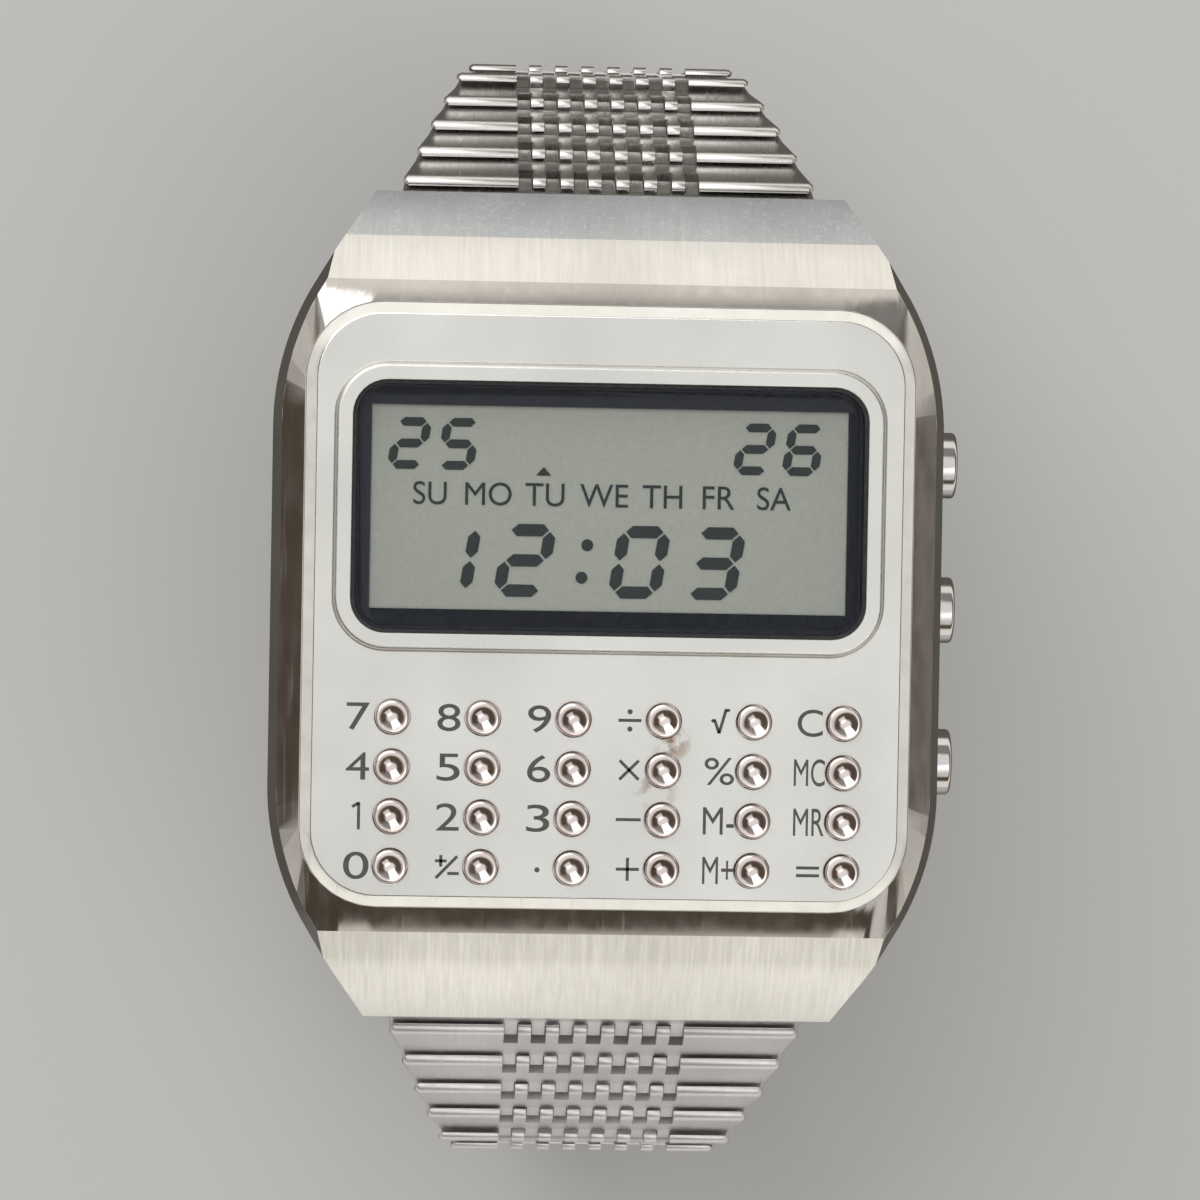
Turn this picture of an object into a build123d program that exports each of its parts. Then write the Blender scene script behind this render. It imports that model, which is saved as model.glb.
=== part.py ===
from build123d import *
from math import atan2, cos, degrees, hypot, radians, sin, sqrt
import os

os.makedirs("parts", exist_ok=True)

# A steel calculator watch on its closed bracelet.
# Millimetres. X points to three o'clock, Y to twelve o'clock, Z out of the face.
# The origin is the middle of the case back's flat outer face.

# Case outline, seen from the front
case_half_width = 17.6
case_half_length = 21.95
case_corner_inset = 5.15
case_shoulder_inset = 2.2
case_shoulder_setback = 4.9
case_flank_setback = 12.55
case_end_half_width = case_half_width - case_corner_inset
case_shoulder_x = case_half_width - case_shoulder_inset
case_shoulder_y = case_half_length - case_shoulder_setback
case_flank_half_length = case_half_length - case_flank_setback

# Case heights
cover_thickness = 1.0
bevel_bottom_z = 7.4
bevel_top_z = 8.9
bevel_width = 1.75
bevel_end_setback = 6.15
bevel_end_y = case_half_length - bevel_end_setback
slope_top_setback = 4.95
slope_top_y = case_half_length - slope_top_setback
slope_top_z = 7.9
slope_bottom_z = 3.7
case_bottom_chamfer = 0.4
overrun = 1.0
hidden_rod_sides = 12

# Case inside
case_side_wall = 3.1
case_end_wall = 7.35
cavity_half_width = case_half_width - case_side_wall
cavity_half_length = case_half_length - case_end_wall
cavity_corner = 1.2
plate_seat_z = 8.5

# Face plate
plate_side_margin = 1.75
plate_end_margin = 6.25
plate_width = 2 * (case_half_width - plate_side_margin)
plate_length = 2 * (case_half_length - plate_end_margin)
plate_centre_y = 0.1
plate_corner = 4.0
plate_top_z = 9.4
plate_edge_chamfer = 0.55
plate_clearance = 0.05

# Window in the face plate
window_centre_share = 0.1624
window_centre_y = plate_centre_y + window_centre_share * plate_length
glass_side_margin = 2.675
glass_width = plate_width - 2 * glass_side_margin
glass_length_share = 0.4045
glass_length = glass_length_share * plate_length
glass_corner = 1.6
glass_top_z = 9.7
gasket_width = 0.2
rim_width = 0.95
rim_height = 0.35
rim_chamfer = 0.25
rim_foot_corner = 2.8

# Display behind the window
display_side_border = 0.75
display_end_border = 1.05
display_width = glass_width - 2 * display_side_border
display_length = glass_length - 2 * display_end_border
mask_thickness = 0.2
mask_lap = 0.7
panel_thickness = 1.4
panel_lap = 0.4
strip_height = 1.3
strip_width = 1.4
strip_end_gap = 0.9
strip_setback = 0.45
strip_length = glass_width - 2 * strip_end_gap
strip_offset_y = glass_length / 2 - strip_setback

# Keys
key_columns = 6
key_rows = 4
key_left_margin = 4.75
key_right_margin = 3.475
key_first_x = key_left_margin - plate_width / 2
key_pitch_x = (plate_width - key_left_margin - key_right_margin) / (key_columns - 1)
key_first_share = 0.1847
key_first_y = plate_centre_y - key_first_share * plate_length
key_pitch_share = 0.08217
key_pitch_y = key_pitch_share * plate_length
key_radius_share = 0.339
key_radius = key_radius_share * key_pitch_y
key_height = 0.55
key_hole_clearance = 0.055
key_sides = 12
key_rim_share = 0.15
key_dish_depth = 0.15
key_foot_share = 0.814
key_foot_width = key_foot_share * key_pitch_y
key_foot_thickness = 0.3
key_foot_gap = 0.05
key_travel = 0.28
key_end_gap = 0.07

# Module
contact_sheet_thickness = 0.35
contact_sheet_margin = 0.35
board_thickness = 0.6
frame_wall = 1.1
frame_gap = 0.2
frame_bottom_z = 1.9
chip_width = 7.0
chip_height = 1.2
chip_end_gap = 2.8
can_radius = 0.95
can_length = 6.0
module_inner_half_width = cavity_half_width - frame_gap - frame_wall
module_inner_half_length = cavity_half_length - frame_gap - frame_wall
chip_y = module_inner_half_length - chip_end_gap - chip_width / 2
can_side_gap = 4.2
can_x = module_inner_half_width - can_side_gap
can_end_gap = 3.8
can_y = module_inner_half_length - can_end_gap - can_length / 2
cell_side_gap = 1.1
cell_middle_gap = 1.0
cell_end_gap = 0.9
cell_length_share = 0.4361
cell_radius_across = (2 * module_inner_half_width - 2 * cell_side_gap - cell_middle_gap) / 4
cell_radius_along = cell_length_share * module_inner_half_length
cell_radius = min(cell_radius_across, cell_radius_along)
cell_height = 2.1
cell_sides = 24
cell_offset_x = cell_radius + cell_middle_gap / 2
cell_y = cell_radius + cell_end_gap - module_inner_half_length
clip_thickness = 0.3
clip_margin = 0.6

# Back cover
cover_side_margin = 2.0
cover_end_margin = 4.25
cover_half_width = case_half_width - cover_side_margin
cover_half_length = case_half_length - cover_end_margin
cover_corner = 4.0
cover_edge_chamfer = 0.3
lip_height = 0.8
lip_wall = 1.0
back_gasket_width = 0.6
back_gasket_height = 0.6
opener_width = 4.0
opener_depth = 0.5
opener_height = 0.4

# Pushers on the three o'clock flank
pusher_ys = (7.9, 0.2, -7.9)
pusher_z = 4.1
pusher_head_radius = 1.75
pusher_head_length = 1.5
pusher_head_chamfer = 0.3
pusher_reach = 0.95
pusher_travel = 0.6
pusher_clearance = 0.1
pusher_stem_radius = 0.7
pusher_bore_clearance = 0.05
pusher_stem_tip = 0.75
pusher_clip_width = 2.4
pusher_clip_thickness = 0.3
pusher_clip_gap = 0.05
pusher_floor_gap = 0.2
pusher_notch_gap = 0.3
spring_height = 1.0
spring_thickness = 0.15
spring_tip_gap = 0.05
spring_crown = 1.0
spring_depth = 1.15

# Lugs and spring bars
lug_bar_setback = 1.6
lug_bar_y = case_half_length - lug_bar_setback
lug_bar_z = 2.5
lug_bar_radius = 0.65
lug_tip_radius = 0.4
lug_tip_length = 0.75
lug_tip_clearance = 0.05
lug_cheek = 0.9
lug_pocket_half_width = case_end_half_width - lug_cheek
lug_pocket_depth = 1.65
lug_pocket_wall_y = lug_bar_y - lug_pocket_depth
lug_pocket_roof_z = 4.0
lug_pocket_lip_z = 3.2
lug_bar_end_gap = 0.2
end_loop_wall = 0.3
end_loop_clearance = 0.07
end_loop_flat = 0.5

# Bracelet
link_count = 13
link_pitch = 3.2
link_top = 1.1
link_bottom = 0.7
link_side_gap = 0.2
link_first_width = 2 * (lug_pocket_half_width - link_side_gap)
link_second_step = 0.6
link_last_width = 14.5
tapering_links = 5.43
link_width_step = (link_first_width - link_second_step - link_last_width) / tapering_links
segment_sizes = (3, 3, 3, 4)
upper_start_tilt = 36.0
upper_tilt_step = 2.0
lower_start_tilt = 41.0
lower_tilt_step = 2.75
near_links = 5
end_tilt = -78.0
shown_links = 5
shown_columns = 13
hidden_columns = 5
lattice_width = 9.75
column_gap = 0.06
tooth_reach = 0.6
root_near = 1.1
root_far = 0.55
crossbar_half = 0.25
crossbar_clearance = 0.04
strap_wall = 0.2
nose_reach = 0.6
nose_bottom = 0.72
crest_end = 0.35
slope_end_gap = 0.1
tail_top = 0.6
tail_reach = 0.25
tail_relief = 0.3
inner_face = 0.5
inner_relief = 0.25

# Clasp
clasp_bar_radius = 0.5
clasp_bar_clearance = 0.06
clasp_loop_wall = 0.3
clasp_lug_gap = 3.6
clasp_knuckle_half_width = 3.4
clasp_wall = 0.8
clasp_side_gap = 0.2
clasp_cover_reach = 1.5
clasp_cover_top = -1.7
clasp_cover_bottom = -2.5
clasp_cover_wall_top = 0.5
clasp_cover_chamfer = 0.3
middle_blade_bottom = -1.2
middle_blade_top = -0.5
middle_blade_half_width = 6.0
inner_blade_bottom = 0.0
inner_blade_top = 0.7
inner_blade_half_width = 5.0
cover_hinge_back = 4.6
cover_hinge_depth = -0.85
cover_end_reach = 0.6
blade_hinge_place = 2.7
blade_hinge_depth = -0.25
hinge_loop_wall = 0.26
hinge_pin_radius = 0.4
hinge_pin_clearance = 0.04
hinge_gap = 0.15
blade_slot_half_width = 1.6
blade_slot_length = 9.0


def save(node, solids):
    """Write one node, a single solid or a group of separate ones."""
    shape = solids[0] if len(solids) == 1 else Compound(children=solids)
    export_step(shape, "parts/" + node + ".step")


def rounded_block(width, length, corner, bottom, top, x=0, y=0):
    """A flat block with rounded corners, standing between two heights."""
    return Pos(x, y, bottom) * extrude(RectangleRounded(width, length, corner), top - bottom)


def square_block(width, length, bottom, top, x=0, y=0):
    """A flat block with square corners, standing between two heights."""
    return Pos(x, y, bottom) * extrude(Rectangle(width, length), top - bottom)


def side_prism(points, start, end):
    """A profile drawn from the side, in Y and Z, carried along X."""
    face = make_face(Polyline(*points, close=True))
    return extrude(Plane.YZ.offset(start) * face, end - start)


def cross_rod(radius, start, end, y=0, z=0):
    """A round rod along X."""
    return extrude(Plane.YZ.offset(start) * Pos(y, z) * Circle(radius), end - start)


def hidden_rod(radius, start, end, y=0, z=0):
    """A rod along X that nothing shows, drawn with a few flats."""
    section = RegularPolygon(radius, hidden_rod_sides)
    return extrude(Plane.YZ.offset(start) * Pos(y, z) * section, end - start)


def only(shape):
    """The single solid of a finished piece."""
    return shape.solids()[0]


# Case body: a cut-corner block with conical bevels, two brushed end slopes and hidden lugs
def flank_arc_radius():
    """Radius of the outline's arc from the straight flank to the shoulder."""
    across = case_half_width - case_shoulder_x
    along = case_shoulder_y - case_flank_half_length
    return (across**2 + along**2) / (2 * across)


def case_outline():
    """Plan of the case at its widest."""
    radius = flank_arc_radius()
    sides = []
    for turn in (0, 180):
        mirror = 1 if turn == 0 else -1
        flank_low = (mirror * case_half_width, -mirror * case_flank_half_length)
        flank_high = (mirror * case_half_width, mirror * case_flank_half_length)
        shoulder = (mirror * case_shoulder_x, mirror * case_shoulder_y)
        far_shoulder = (-mirror * case_shoulder_x, mirror * case_shoulder_y)
        corner = (mirror * case_end_half_width, mirror * case_half_length)
        far_corner = (-mirror * case_end_half_width, mirror * case_half_length)
        far_flank = (-mirror * case_half_width, mirror * case_flank_half_length)
        sides += [
            Line(flank_low, flank_high),
            RadiusArc(flank_high, shoulder, -radius),
            Line(shoulder, corner),
            Line(corner, far_corner),
            Line(far_corner, far_shoulder),
            RadiusArc(far_shoulder, far_flank, -radius),
        ]
    return make_face(Wire(sides))


def bevel_section(inset, end_y):
    """Plan of the bevelled top at one height: the outline drawn in, cut off at both ends."""
    radius = flank_arc_radius() - inset
    centre_x = case_half_width - flank_arc_radius()
    side_x = case_half_width - inset
    end_x = centre_x + sqrt(radius**2 - (end_y - case_flank_half_length) ** 2)
    sides = []
    for mirror in (1, -1):
        flank_low = (mirror * side_x, -mirror * case_flank_half_length)
        flank_high = (mirror * side_x, mirror * case_flank_half_length)
        corner = (mirror * end_x, mirror * end_y)
        far_corner = (-mirror * end_x, mirror * end_y)
        far_flank = (-mirror * side_x, mirror * case_flank_half_length)
        sides += [
            Line(flank_low, flank_high),
            RadiusArc(flank_high, corner, -radius),
            Line(corner, far_corner),
            RadiusArc(far_corner, far_flank, -radius),
        ]
    return make_face(Wire(sides))


def end_slope_cutter():
    """What the brushed slope removes above one end of the case."""
    run = case_half_length - slope_top_y
    fall = (slope_top_z - slope_bottom_z) / run
    far_y = case_half_length + overrun
    near_y = slope_top_y - (bevel_top_z + overrun - slope_top_z) / fall
    high = bevel_top_z + overrun
    points = [(near_y, high), (far_y, slope_top_z - fall * (far_y - slope_top_y)), (far_y, high)]
    return side_prism(points, -case_half_width - overrun, case_half_width + overrun)


def lug_pocket():
    """The space under one end of the case that hides the first link's barrel."""
    far_y = case_half_length + overrun
    lip_y = lug_bar_y + (lug_pocket_roof_z - lug_bar_z) * sin(radians(upper_start_tilt))
    lip_slope = (lug_pocket_roof_z - lug_pocket_lip_z) / (case_half_length - lip_y)
    points = [
        (lug_pocket_wall_y, cover_thickness - overrun),
        (far_y, cover_thickness - overrun),
        (far_y, lug_pocket_lip_z - overrun * lip_slope),
        (lip_y, lug_pocket_roof_z),
        (lug_pocket_wall_y, lug_pocket_roof_z),
    ]
    return side_prism(points, -lug_pocket_half_width, lug_pocket_half_width)


def case_body():
    """The machined case, with everything that is cut into it."""
    lower = Pos(0, 0, cover_thickness) * extrude(case_outline(), bevel_bottom_z - cover_thickness)
    lower = chamfer(lower.edges().group_by(Axis.Z)[0], case_bottom_chamfer)
    end_low = bevel_end_y + bevel_width
    crown = loft(
        [
            Pos(0, 0, bevel_bottom_z) * bevel_section(0, end_low),
            Pos(0, 0, bevel_top_z) * bevel_section(bevel_width, bevel_end_y),
        ],
        ruled=True,
    )
    body = lower + crown
    body -= rounded_block(
        plate_width + 2 * plate_clearance, plate_length + 2 * plate_clearance,
        plate_corner + plate_clearance, plate_seat_z, bevel_top_z + overrun, 0, plate_centre_y,
    )
    body -= rounded_block(
        2 * cavity_half_width, 2 * cavity_half_length, cavity_corner, 0, plate_seat_z + overrun,
    )
    tip_reach = lug_pocket_half_width + lug_tip_length
    tip_radius = lug_tip_radius + lug_tip_clearance
    pocket = lug_pocket() + hidden_rod(tip_radius, -tip_reach, tip_reach, lug_bar_y, lug_bar_z)
    for turn in (0, 180):
        body -= Rot(0, 0, turn) * end_slope_cutter()
        body -= Rot(0, 0, turn) * pocket
    for y in pusher_ys:
        floor_x = pusher_floor_x()
        head_bore = pusher_head_radius + pusher_clearance
        body -= cross_rod(head_bore, floor_x, case_half_width + overrun, y, pusher_z)
        stem_bore = pusher_stem_radius + pusher_bore_clearance
        body -= hidden_rod(stem_bore, cavity_half_width - overrun, floor_x + overrun, y, pusher_z)
    return only(body)


# Face plate, crystal and display
def face_plate():
    """The plate with its raised window rim and a hole for each key."""
    plate = rounded_block(plate_width, plate_length, plate_corner, plate_seat_z, plate_top_z, 0,
                          plate_centre_y)
    plate = chamfer(plate.edges().group_by(Axis.Z)[-1], plate_edge_chamfer)
    opening_width = glass_width + 2 * gasket_width
    opening_length = glass_length + 2 * gasket_width
    rim = rounded_block(opening_width + 2 * rim_width, opening_length + 2 * rim_width,
                        rim_foot_corner, plate_top_z, plate_top_z + rim_height, 0,
                        window_centre_y)
    rim = chamfer(rim.edges().group_by(Axis.Z)[-1], rim_chamfer)
    plate += rim
    plate -= rounded_block(opening_width, opening_length, glass_corner + gasket_width, 0,
                           plate_top_z + overrun, 0, window_centre_y)
    holes = [
        Pos(x, y, 0) * RegularPolygon(key_radius + key_hole_clearance, key_sides)
        for _, x, y in key_places()
    ]
    plate -= extrude(Sketch() + holes, plate_top_z + overrun)
    return only(plate)


def crystal():
    return only(rounded_block(glass_width, glass_length, glass_corner, plate_seat_z, glass_top_z,
                              0, window_centre_y))


def crystal_gasket():
    top = plate_top_z + rim_height - gasket_width
    outer = rounded_block(glass_width + 2 * gasket_width, glass_length + 2 * gasket_width,
                          glass_corner + gasket_width, plate_seat_z, top, 0, window_centre_y)
    inner = rounded_block(glass_width, glass_length, glass_corner, 0, top + overrun, 0,
                          window_centre_y)
    return only(outer - inner)


def display_mask():
    """The dark border under the crystal."""
    top = plate_seat_z
    outer = rounded_block(glass_width + mask_lap, glass_length + mask_lap, glass_corner,
                          top - mask_thickness, top, 0, window_centre_y)
    inner = square_block(display_width, display_length, 0, top + overrun, 0, window_centre_y)
    return only(outer - inner)


def panel_bottom_z():
    return plate_seat_z - mask_thickness - panel_thickness


def lcd_panel():
    return only(square_block(glass_width + panel_lap, glass_length + panel_lap, panel_bottom_z(),
                             plate_seat_z - mask_thickness, 0, window_centre_y))


def connector_strips():
    """Two elastomer strips that join the board to the panel."""
    bottom = panel_bottom_z() - strip_height
    return [
        only(square_block(strip_length, strip_width, bottom, panel_bottom_z(), 0,
                          window_centre_y + side * strip_offset_y))
        for side in (-1, 1)
    ]


# Keys
key_names = (
    ("seven", "eight", "nine", "divide", "root", "clear"),
    ("four", "five", "six", "multiply", "percent", "memory_clear"),
    ("one", "two", "three", "minus", "memory_minus", "memory_recall"),
    ("zero", "sign", "point", "plus", "memory_plus", "equals"),
)


def key_places():
    """Each key's name and place, row by row."""
    places = []
    for row in range(key_rows):
        for column in range(key_columns):
            x = key_first_x + column * key_pitch_x
            y = key_first_y - row * key_pitch_y
            places.append(("key_" + key_names[row][column], x, y))
    return places


def key_foot_top_z():
    return plate_seat_z - key_foot_gap


def key(x, y):
    """A dished round head on a square foot that the plate holds down."""
    foot_top = key_foot_top_z()
    top = plate_top_z + key_height
    body = square_block(key_foot_width, key_foot_width, foot_top - key_foot_thickness, foot_top)
    body += Pos(0, 0, foot_top) * extrude(RegularPolygon(key_radius, key_sides), top - foot_top)
    dish_edge = RegularPolygon((1 - key_rim_share) * key_radius, key_sides)
    body -= loft([Pos(0, 0, top) * dish_edge, Vertex(0, 0, top - key_dish_depth)], ruled=True)
    return only(Pos(x, y, 0) * body)


# Module
def contact_sheet_top_z():
    return key_foot_top_z() - key_foot_thickness - key_travel - key_end_gap


def deck_top_z():
    return contact_sheet_top_z() - contact_sheet_thickness


def board_top_z():
    return panel_bottom_z() - strip_height


def deck_edge_y():
    """Where the module's solid deck ends and the display bay begins."""
    return window_centre_y - glass_length / 2 - panel_lap


def key_contact_sheet():
    low_y = key_first_y - (key_rows - 1) * key_pitch_y - key_foot_width / 2
    high_y = key_first_y + key_foot_width / 2
    width = (key_columns - 1) * key_pitch_x + key_foot_width + 2 * contact_sheet_margin
    middle_x = key_first_x + (key_columns - 1) * key_pitch_x / 2
    shift_x = min(middle_x, cavity_half_width - frame_gap - width / 2)
    return only(square_block(width, high_y - low_y, deck_top_z(), contact_sheet_top_z(),
                             shift_x, (low_y + high_y) / 2))


def module_frame():
    """The moulded frame: a ring round the board with a deck under the keys."""
    width = 2 * (cavity_half_width - frame_gap)
    length = 2 * (cavity_half_length - frame_gap)
    frame = rounded_block(width, length, cavity_corner, frame_bottom_z, deck_top_z())
    frame -= square_block(width - 2 * frame_wall, length - 2 * frame_wall, 0, board_top_z())
    bay_top_y = length / 2 - frame_wall
    frame -= square_block(width - 2 * frame_wall, bay_top_y - deck_edge_y(), 0,
                          deck_top_z() + overrun, 0, (bay_top_y + deck_edge_y()) / 2)
    frame -= square_block(glass_width + 2 * panel_lap, glass_length + 2 * panel_lap,
                          panel_bottom_z(), deck_top_z() + overrun, 0, window_centre_y)
    notch = pusher_clip_width + 2 * pusher_notch_gap
    depth = frame_wall + frame_gap + overrun
    for y in pusher_ys:
        frame -= square_block(depth, notch, pusher_z - notch / 2, pusher_z + notch / 2,
                              cavity_half_width - depth / 2, y)
    return only(frame)


def circuit_board():
    width = 2 * (cavity_half_width - frame_gap - frame_wall)
    length = 2 * (cavity_half_length - frame_gap - frame_wall)
    return only(square_block(width, length, board_top_z() - board_thickness, board_top_z()))


def processor_chip():
    top = board_top_z() - board_thickness
    return only(square_block(chip_width, chip_width, top - chip_height, top, 0, chip_y))


def quartz_can():
    z = board_top_z() - board_thickness - can_radius
    section = RegularPolygon(can_radius, hidden_rod_sides)
    rod = extrude(Plane.XZ * section, can_length / 2, both=True)
    return only(Pos(can_x, can_y, z) * rod)


def button_cells():
    bottom = frame_bottom_z + clip_thickness
    return [
        only(Pos(side * cell_offset_x, cell_y, bottom)
             * extrude(RegularPolygon(cell_radius, cell_sides), cell_height))
        for side in (-1, 1)
    ]


def cell_clip():
    """A spring plate under the two cells."""
    width = 2 * (cell_offset_x + cell_radius) + clip_margin
    length = 2 * cell_radius + clip_margin
    plate = square_block(width, length, frame_bottom_z, frame_bottom_z + clip_thickness, 0, cell_y)
    plate -= square_block(clip_margin, length - 2 * clip_margin, 0, board_top_z(), 0, cell_y)
    return only(plate)


# Back cover
def lip_half_width():
    return cavity_half_width - back_gasket_width


def lip_half_length():
    return cavity_half_length - back_gasket_width


def back_cover():
    """A pressed-in cover with a bevelled edge, a locating lip and a notch for a case knife."""
    cover = rounded_block(2 * cover_half_width, 2 * cover_half_length, cover_corner, 0,
                          cover_thickness)
    cover = chamfer(cover.edges().group_by(Axis.Z)[0], cover_edge_chamfer)
    lip_top = cover_thickness + lip_height
    lip = rounded_block(2 * lip_half_width(), 2 * lip_half_length(), cavity_corner, 0, lip_top)
    lip -= square_block(2 * (lip_half_width() - lip_wall), 2 * (lip_half_length() - lip_wall), 0,
                        lip_top + overrun)
    cover += lip
    cover -= square_block(2 * opener_depth, opener_width, cover_thickness - opener_height,
                          cover_thickness, -cover_half_width, 0)
    return only(cover)


def back_gasket():
    top = cover_thickness + back_gasket_height
    ring = rounded_block(2 * cavity_half_width, 2 * cavity_half_length, cavity_corner,
                         cover_thickness, top)
    ring -= rounded_block(2 * lip_half_width(), 2 * lip_half_length(), cavity_corner, 0,
                          top + overrun)
    return only(ring)


# Pushers
def pusher_head_inner_x():
    return case_half_width + pusher_reach - pusher_head_length


def pusher_floor_x():
    return pusher_head_inner_x() - pusher_travel - pusher_floor_gap


def pusher(y):
    """A round head on a stem, held in by a clip inside the wall."""
    head_x = pusher_head_inner_x()
    tip_x = cavity_half_width - pusher_stem_tip
    head = cross_rod(pusher_head_radius, head_x, head_x + pusher_head_length, y, pusher_z)
    head = chamfer(head.edges().group_by(Axis.X)[-1], pusher_head_chamfer)
    body = head + hidden_rod(pusher_stem_radius, tip_x, head_x, y, pusher_z)
    clip_x = cavity_half_width - pusher_clip_gap - pusher_clip_thickness
    width = pusher_clip_width
    body += Pos(clip_x + pusher_clip_thickness / 2, y, pusher_z) * Box(
        pusher_clip_thickness, width, width)
    return only(body)


def pusher_spring(y):
    """A bowed leaf spring in the module's side, behind the pusher's stem."""
    crown_x = cavity_half_width - pusher_stem_tip - spring_tip_gap
    foot_x = crown_x - spring_depth
    half_crown = spring_crown / 2
    half_foot = pusher_clip_width / 2 + pusher_notch_gap - spring_tip_gap
    outer = [(foot_x, y - half_foot), (crown_x, y - half_crown), (crown_x, y + half_crown),
             (foot_x, y + half_foot)]
    inner_foot = half_foot - spring_thickness
    inner = [(foot_x, y + inner_foot), (crown_x - spring_thickness, y + half_crown),
             (crown_x - spring_thickness, y - half_crown), (foot_x, y - inner_foot)]
    strip = extrude(make_face(Polyline(*(outer + inner), close=True)), spring_height)
    return only(Pos(0, 0, pusher_z - spring_height / 2) * strip)


# Bracelet: each link's middle tab folds round the next link's crossbar, between interlocking teeth
def lug_spring_bars():
    bars = []
    half = lug_pocket_half_width - lug_bar_end_gap
    reach = lug_pocket_half_width + lug_tip_length - lug_bar_end_gap
    for side in (1, -1):
        y = side * lug_bar_y
        bar = cross_rod(lug_bar_radius, -half, half, y, lug_bar_z)
        bar += hidden_rod(lug_tip_radius, -reach, reach, y, lug_bar_z)
        bars.append(only(bar))
    return bars


def strand_path(start_tilt, tilt_step):
    """Hinge places and link tilts of one strand, from its lug bar to the clasp."""
    bends = link_count - near_links
    near_end_tilt = start_tilt - (near_links - 1) * tilt_step
    far_step = (near_end_tilt - end_tilt) / bends
    y, z = lug_bar_y, lug_bar_z
    places = [(y, z)]
    tilts = []
    for number in range(link_count):
        if number < near_links:
            tilt = start_tilt - number * tilt_step
        else:
            tilt = near_end_tilt - (number - near_links + 1) * far_step
        y += link_pitch * sin(radians(tilt))
        z -= link_pitch * cos(radians(tilt))
        tilts.append(tilt)
        places.append((y, z))
    return places, tilts


def link_half_width(number):
    """Half width of the bracelet at the near hinge of a link."""
    if number == 0:
        return link_first_width / 2
    width = link_first_width - link_second_step - (number - 1) * link_width_step
    return max(width, link_last_width) / 2


def column_span(columns, column):
    """Where one tooth of a lattice row starts and ends across the bracelet."""
    width = lattice_width / columns
    start = (column - columns / 2) * width
    return start + column_gap / 2, start + width - column_gap / 2


def loop_room(y, z, half, start, end):
    """The square room round a bar along X."""
    return side_prism([(y - half, z - half), (y + half, z - half), (y + half, z + half),
                       (y - half, z + half)], start, end)


def slope_end():
    """Where a link's falling top reaches the height of its tail."""
    return link_pitch - nose_reach - slope_end_gap


def top_height(along):
    """Height of a link's falling top surface at one place along it."""
    drop = (link_top - tail_top) / (slope_end() - crest_end)
    return link_top - drop * (along - crest_end)


def nose_points(inner):
    """The raised front of a link, from its underside to its crest."""
    nose_round = link_top - nose_bottom
    return inner + [(-nose_reach, nose_bottom), (nose_round - nose_reach, link_top),
                    (crest_end, link_top)]


def near_teeth(columns, pivot):
    """The fingers at a link's near hinge. The outer two carry the crossbar, round at a pivot."""
    root = [(root_near, top_height(root_near))]
    finger = nose_points([(root_near, nose_bottom)]) + root
    leg = nose_points([(root_near, -crossbar_half), (-crossbar_half, -crossbar_half),
                       (-crossbar_half, nose_bottom)]) + root
    pieces = []
    for column in range(1, columns, 2):
        outer = column in (1, columns - 2)
        pieces.append(side_prism(leg if outer else finger, *column_span(columns, column)))
    reach = column_span(columns, columns - 2)[1]
    if pivot:
        return pieces + [cross_rod(crossbar_half * sqrt(2), -reach, reach)]
    return pieces + [loop_room(0, 0, crossbar_half, -reach, reach)]


def far_teeth(columns):
    """The tabs at a link's far hinge. The middle one folds round the next crossbar."""
    root = link_pitch - root_far
    hole = crossbar_half * sqrt(2) + crossbar_clearance
    tab = [(root, hole), (link_pitch + tooth_reach, hole),
           (link_pitch + tooth_reach, tail_top), (root, tail_top)]
    outer = hole + strap_wall
    strap = [(root, -outer), (link_pitch + outer, -outer), (link_pitch + outer, tail_top),
             (root, tail_top)]
    pieces = []
    for column in range(0, columns, 2):
        start, end = column_span(columns, column)
        if column == columns // 2:
            folded = side_prism(strap, start, end) - loop_room(link_pitch, 0, hole, start, end)
            pieces.append(folded)
        else:
            pieces.append(side_prism(tab, start, end))
    return pieces


def side_taper(near_half, far_half):
    """What a link keeps between its two tapering sides."""
    reach = link_pitch
    far_y = link_pitch + reach
    wide = near_half + (far_half - near_half) * far_y / link_pitch
    plan = Polyline((near_half, -reach), (near_half, 0), (wide, far_y), (-wide, far_y),
                    (-near_half, 0), (-near_half, -reach), close=True)
    return extrude(make_face(plan), reach, both=True)


def end_loop_points():
    """The first link's near end, folded round the lug's spring bar."""
    outer = lug_bar_radius + end_loop_clearance + end_loop_wall
    return [(end_loop_flat, -outer), (-end_loop_flat, -outer), (-outer, -end_loop_flat),
            (-outer, end_loop_flat), (-end_loop_flat, link_top), (crest_end, link_top)]


def lattice_room(start, end):
    """The part of a link's profile that its teeth replace."""
    half = lattice_width / 2
    return side_prism([(start, -link_pitch), (end, -link_pitch), (end, link_pitch),
                       (start, link_pitch)], -half, half)


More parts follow.
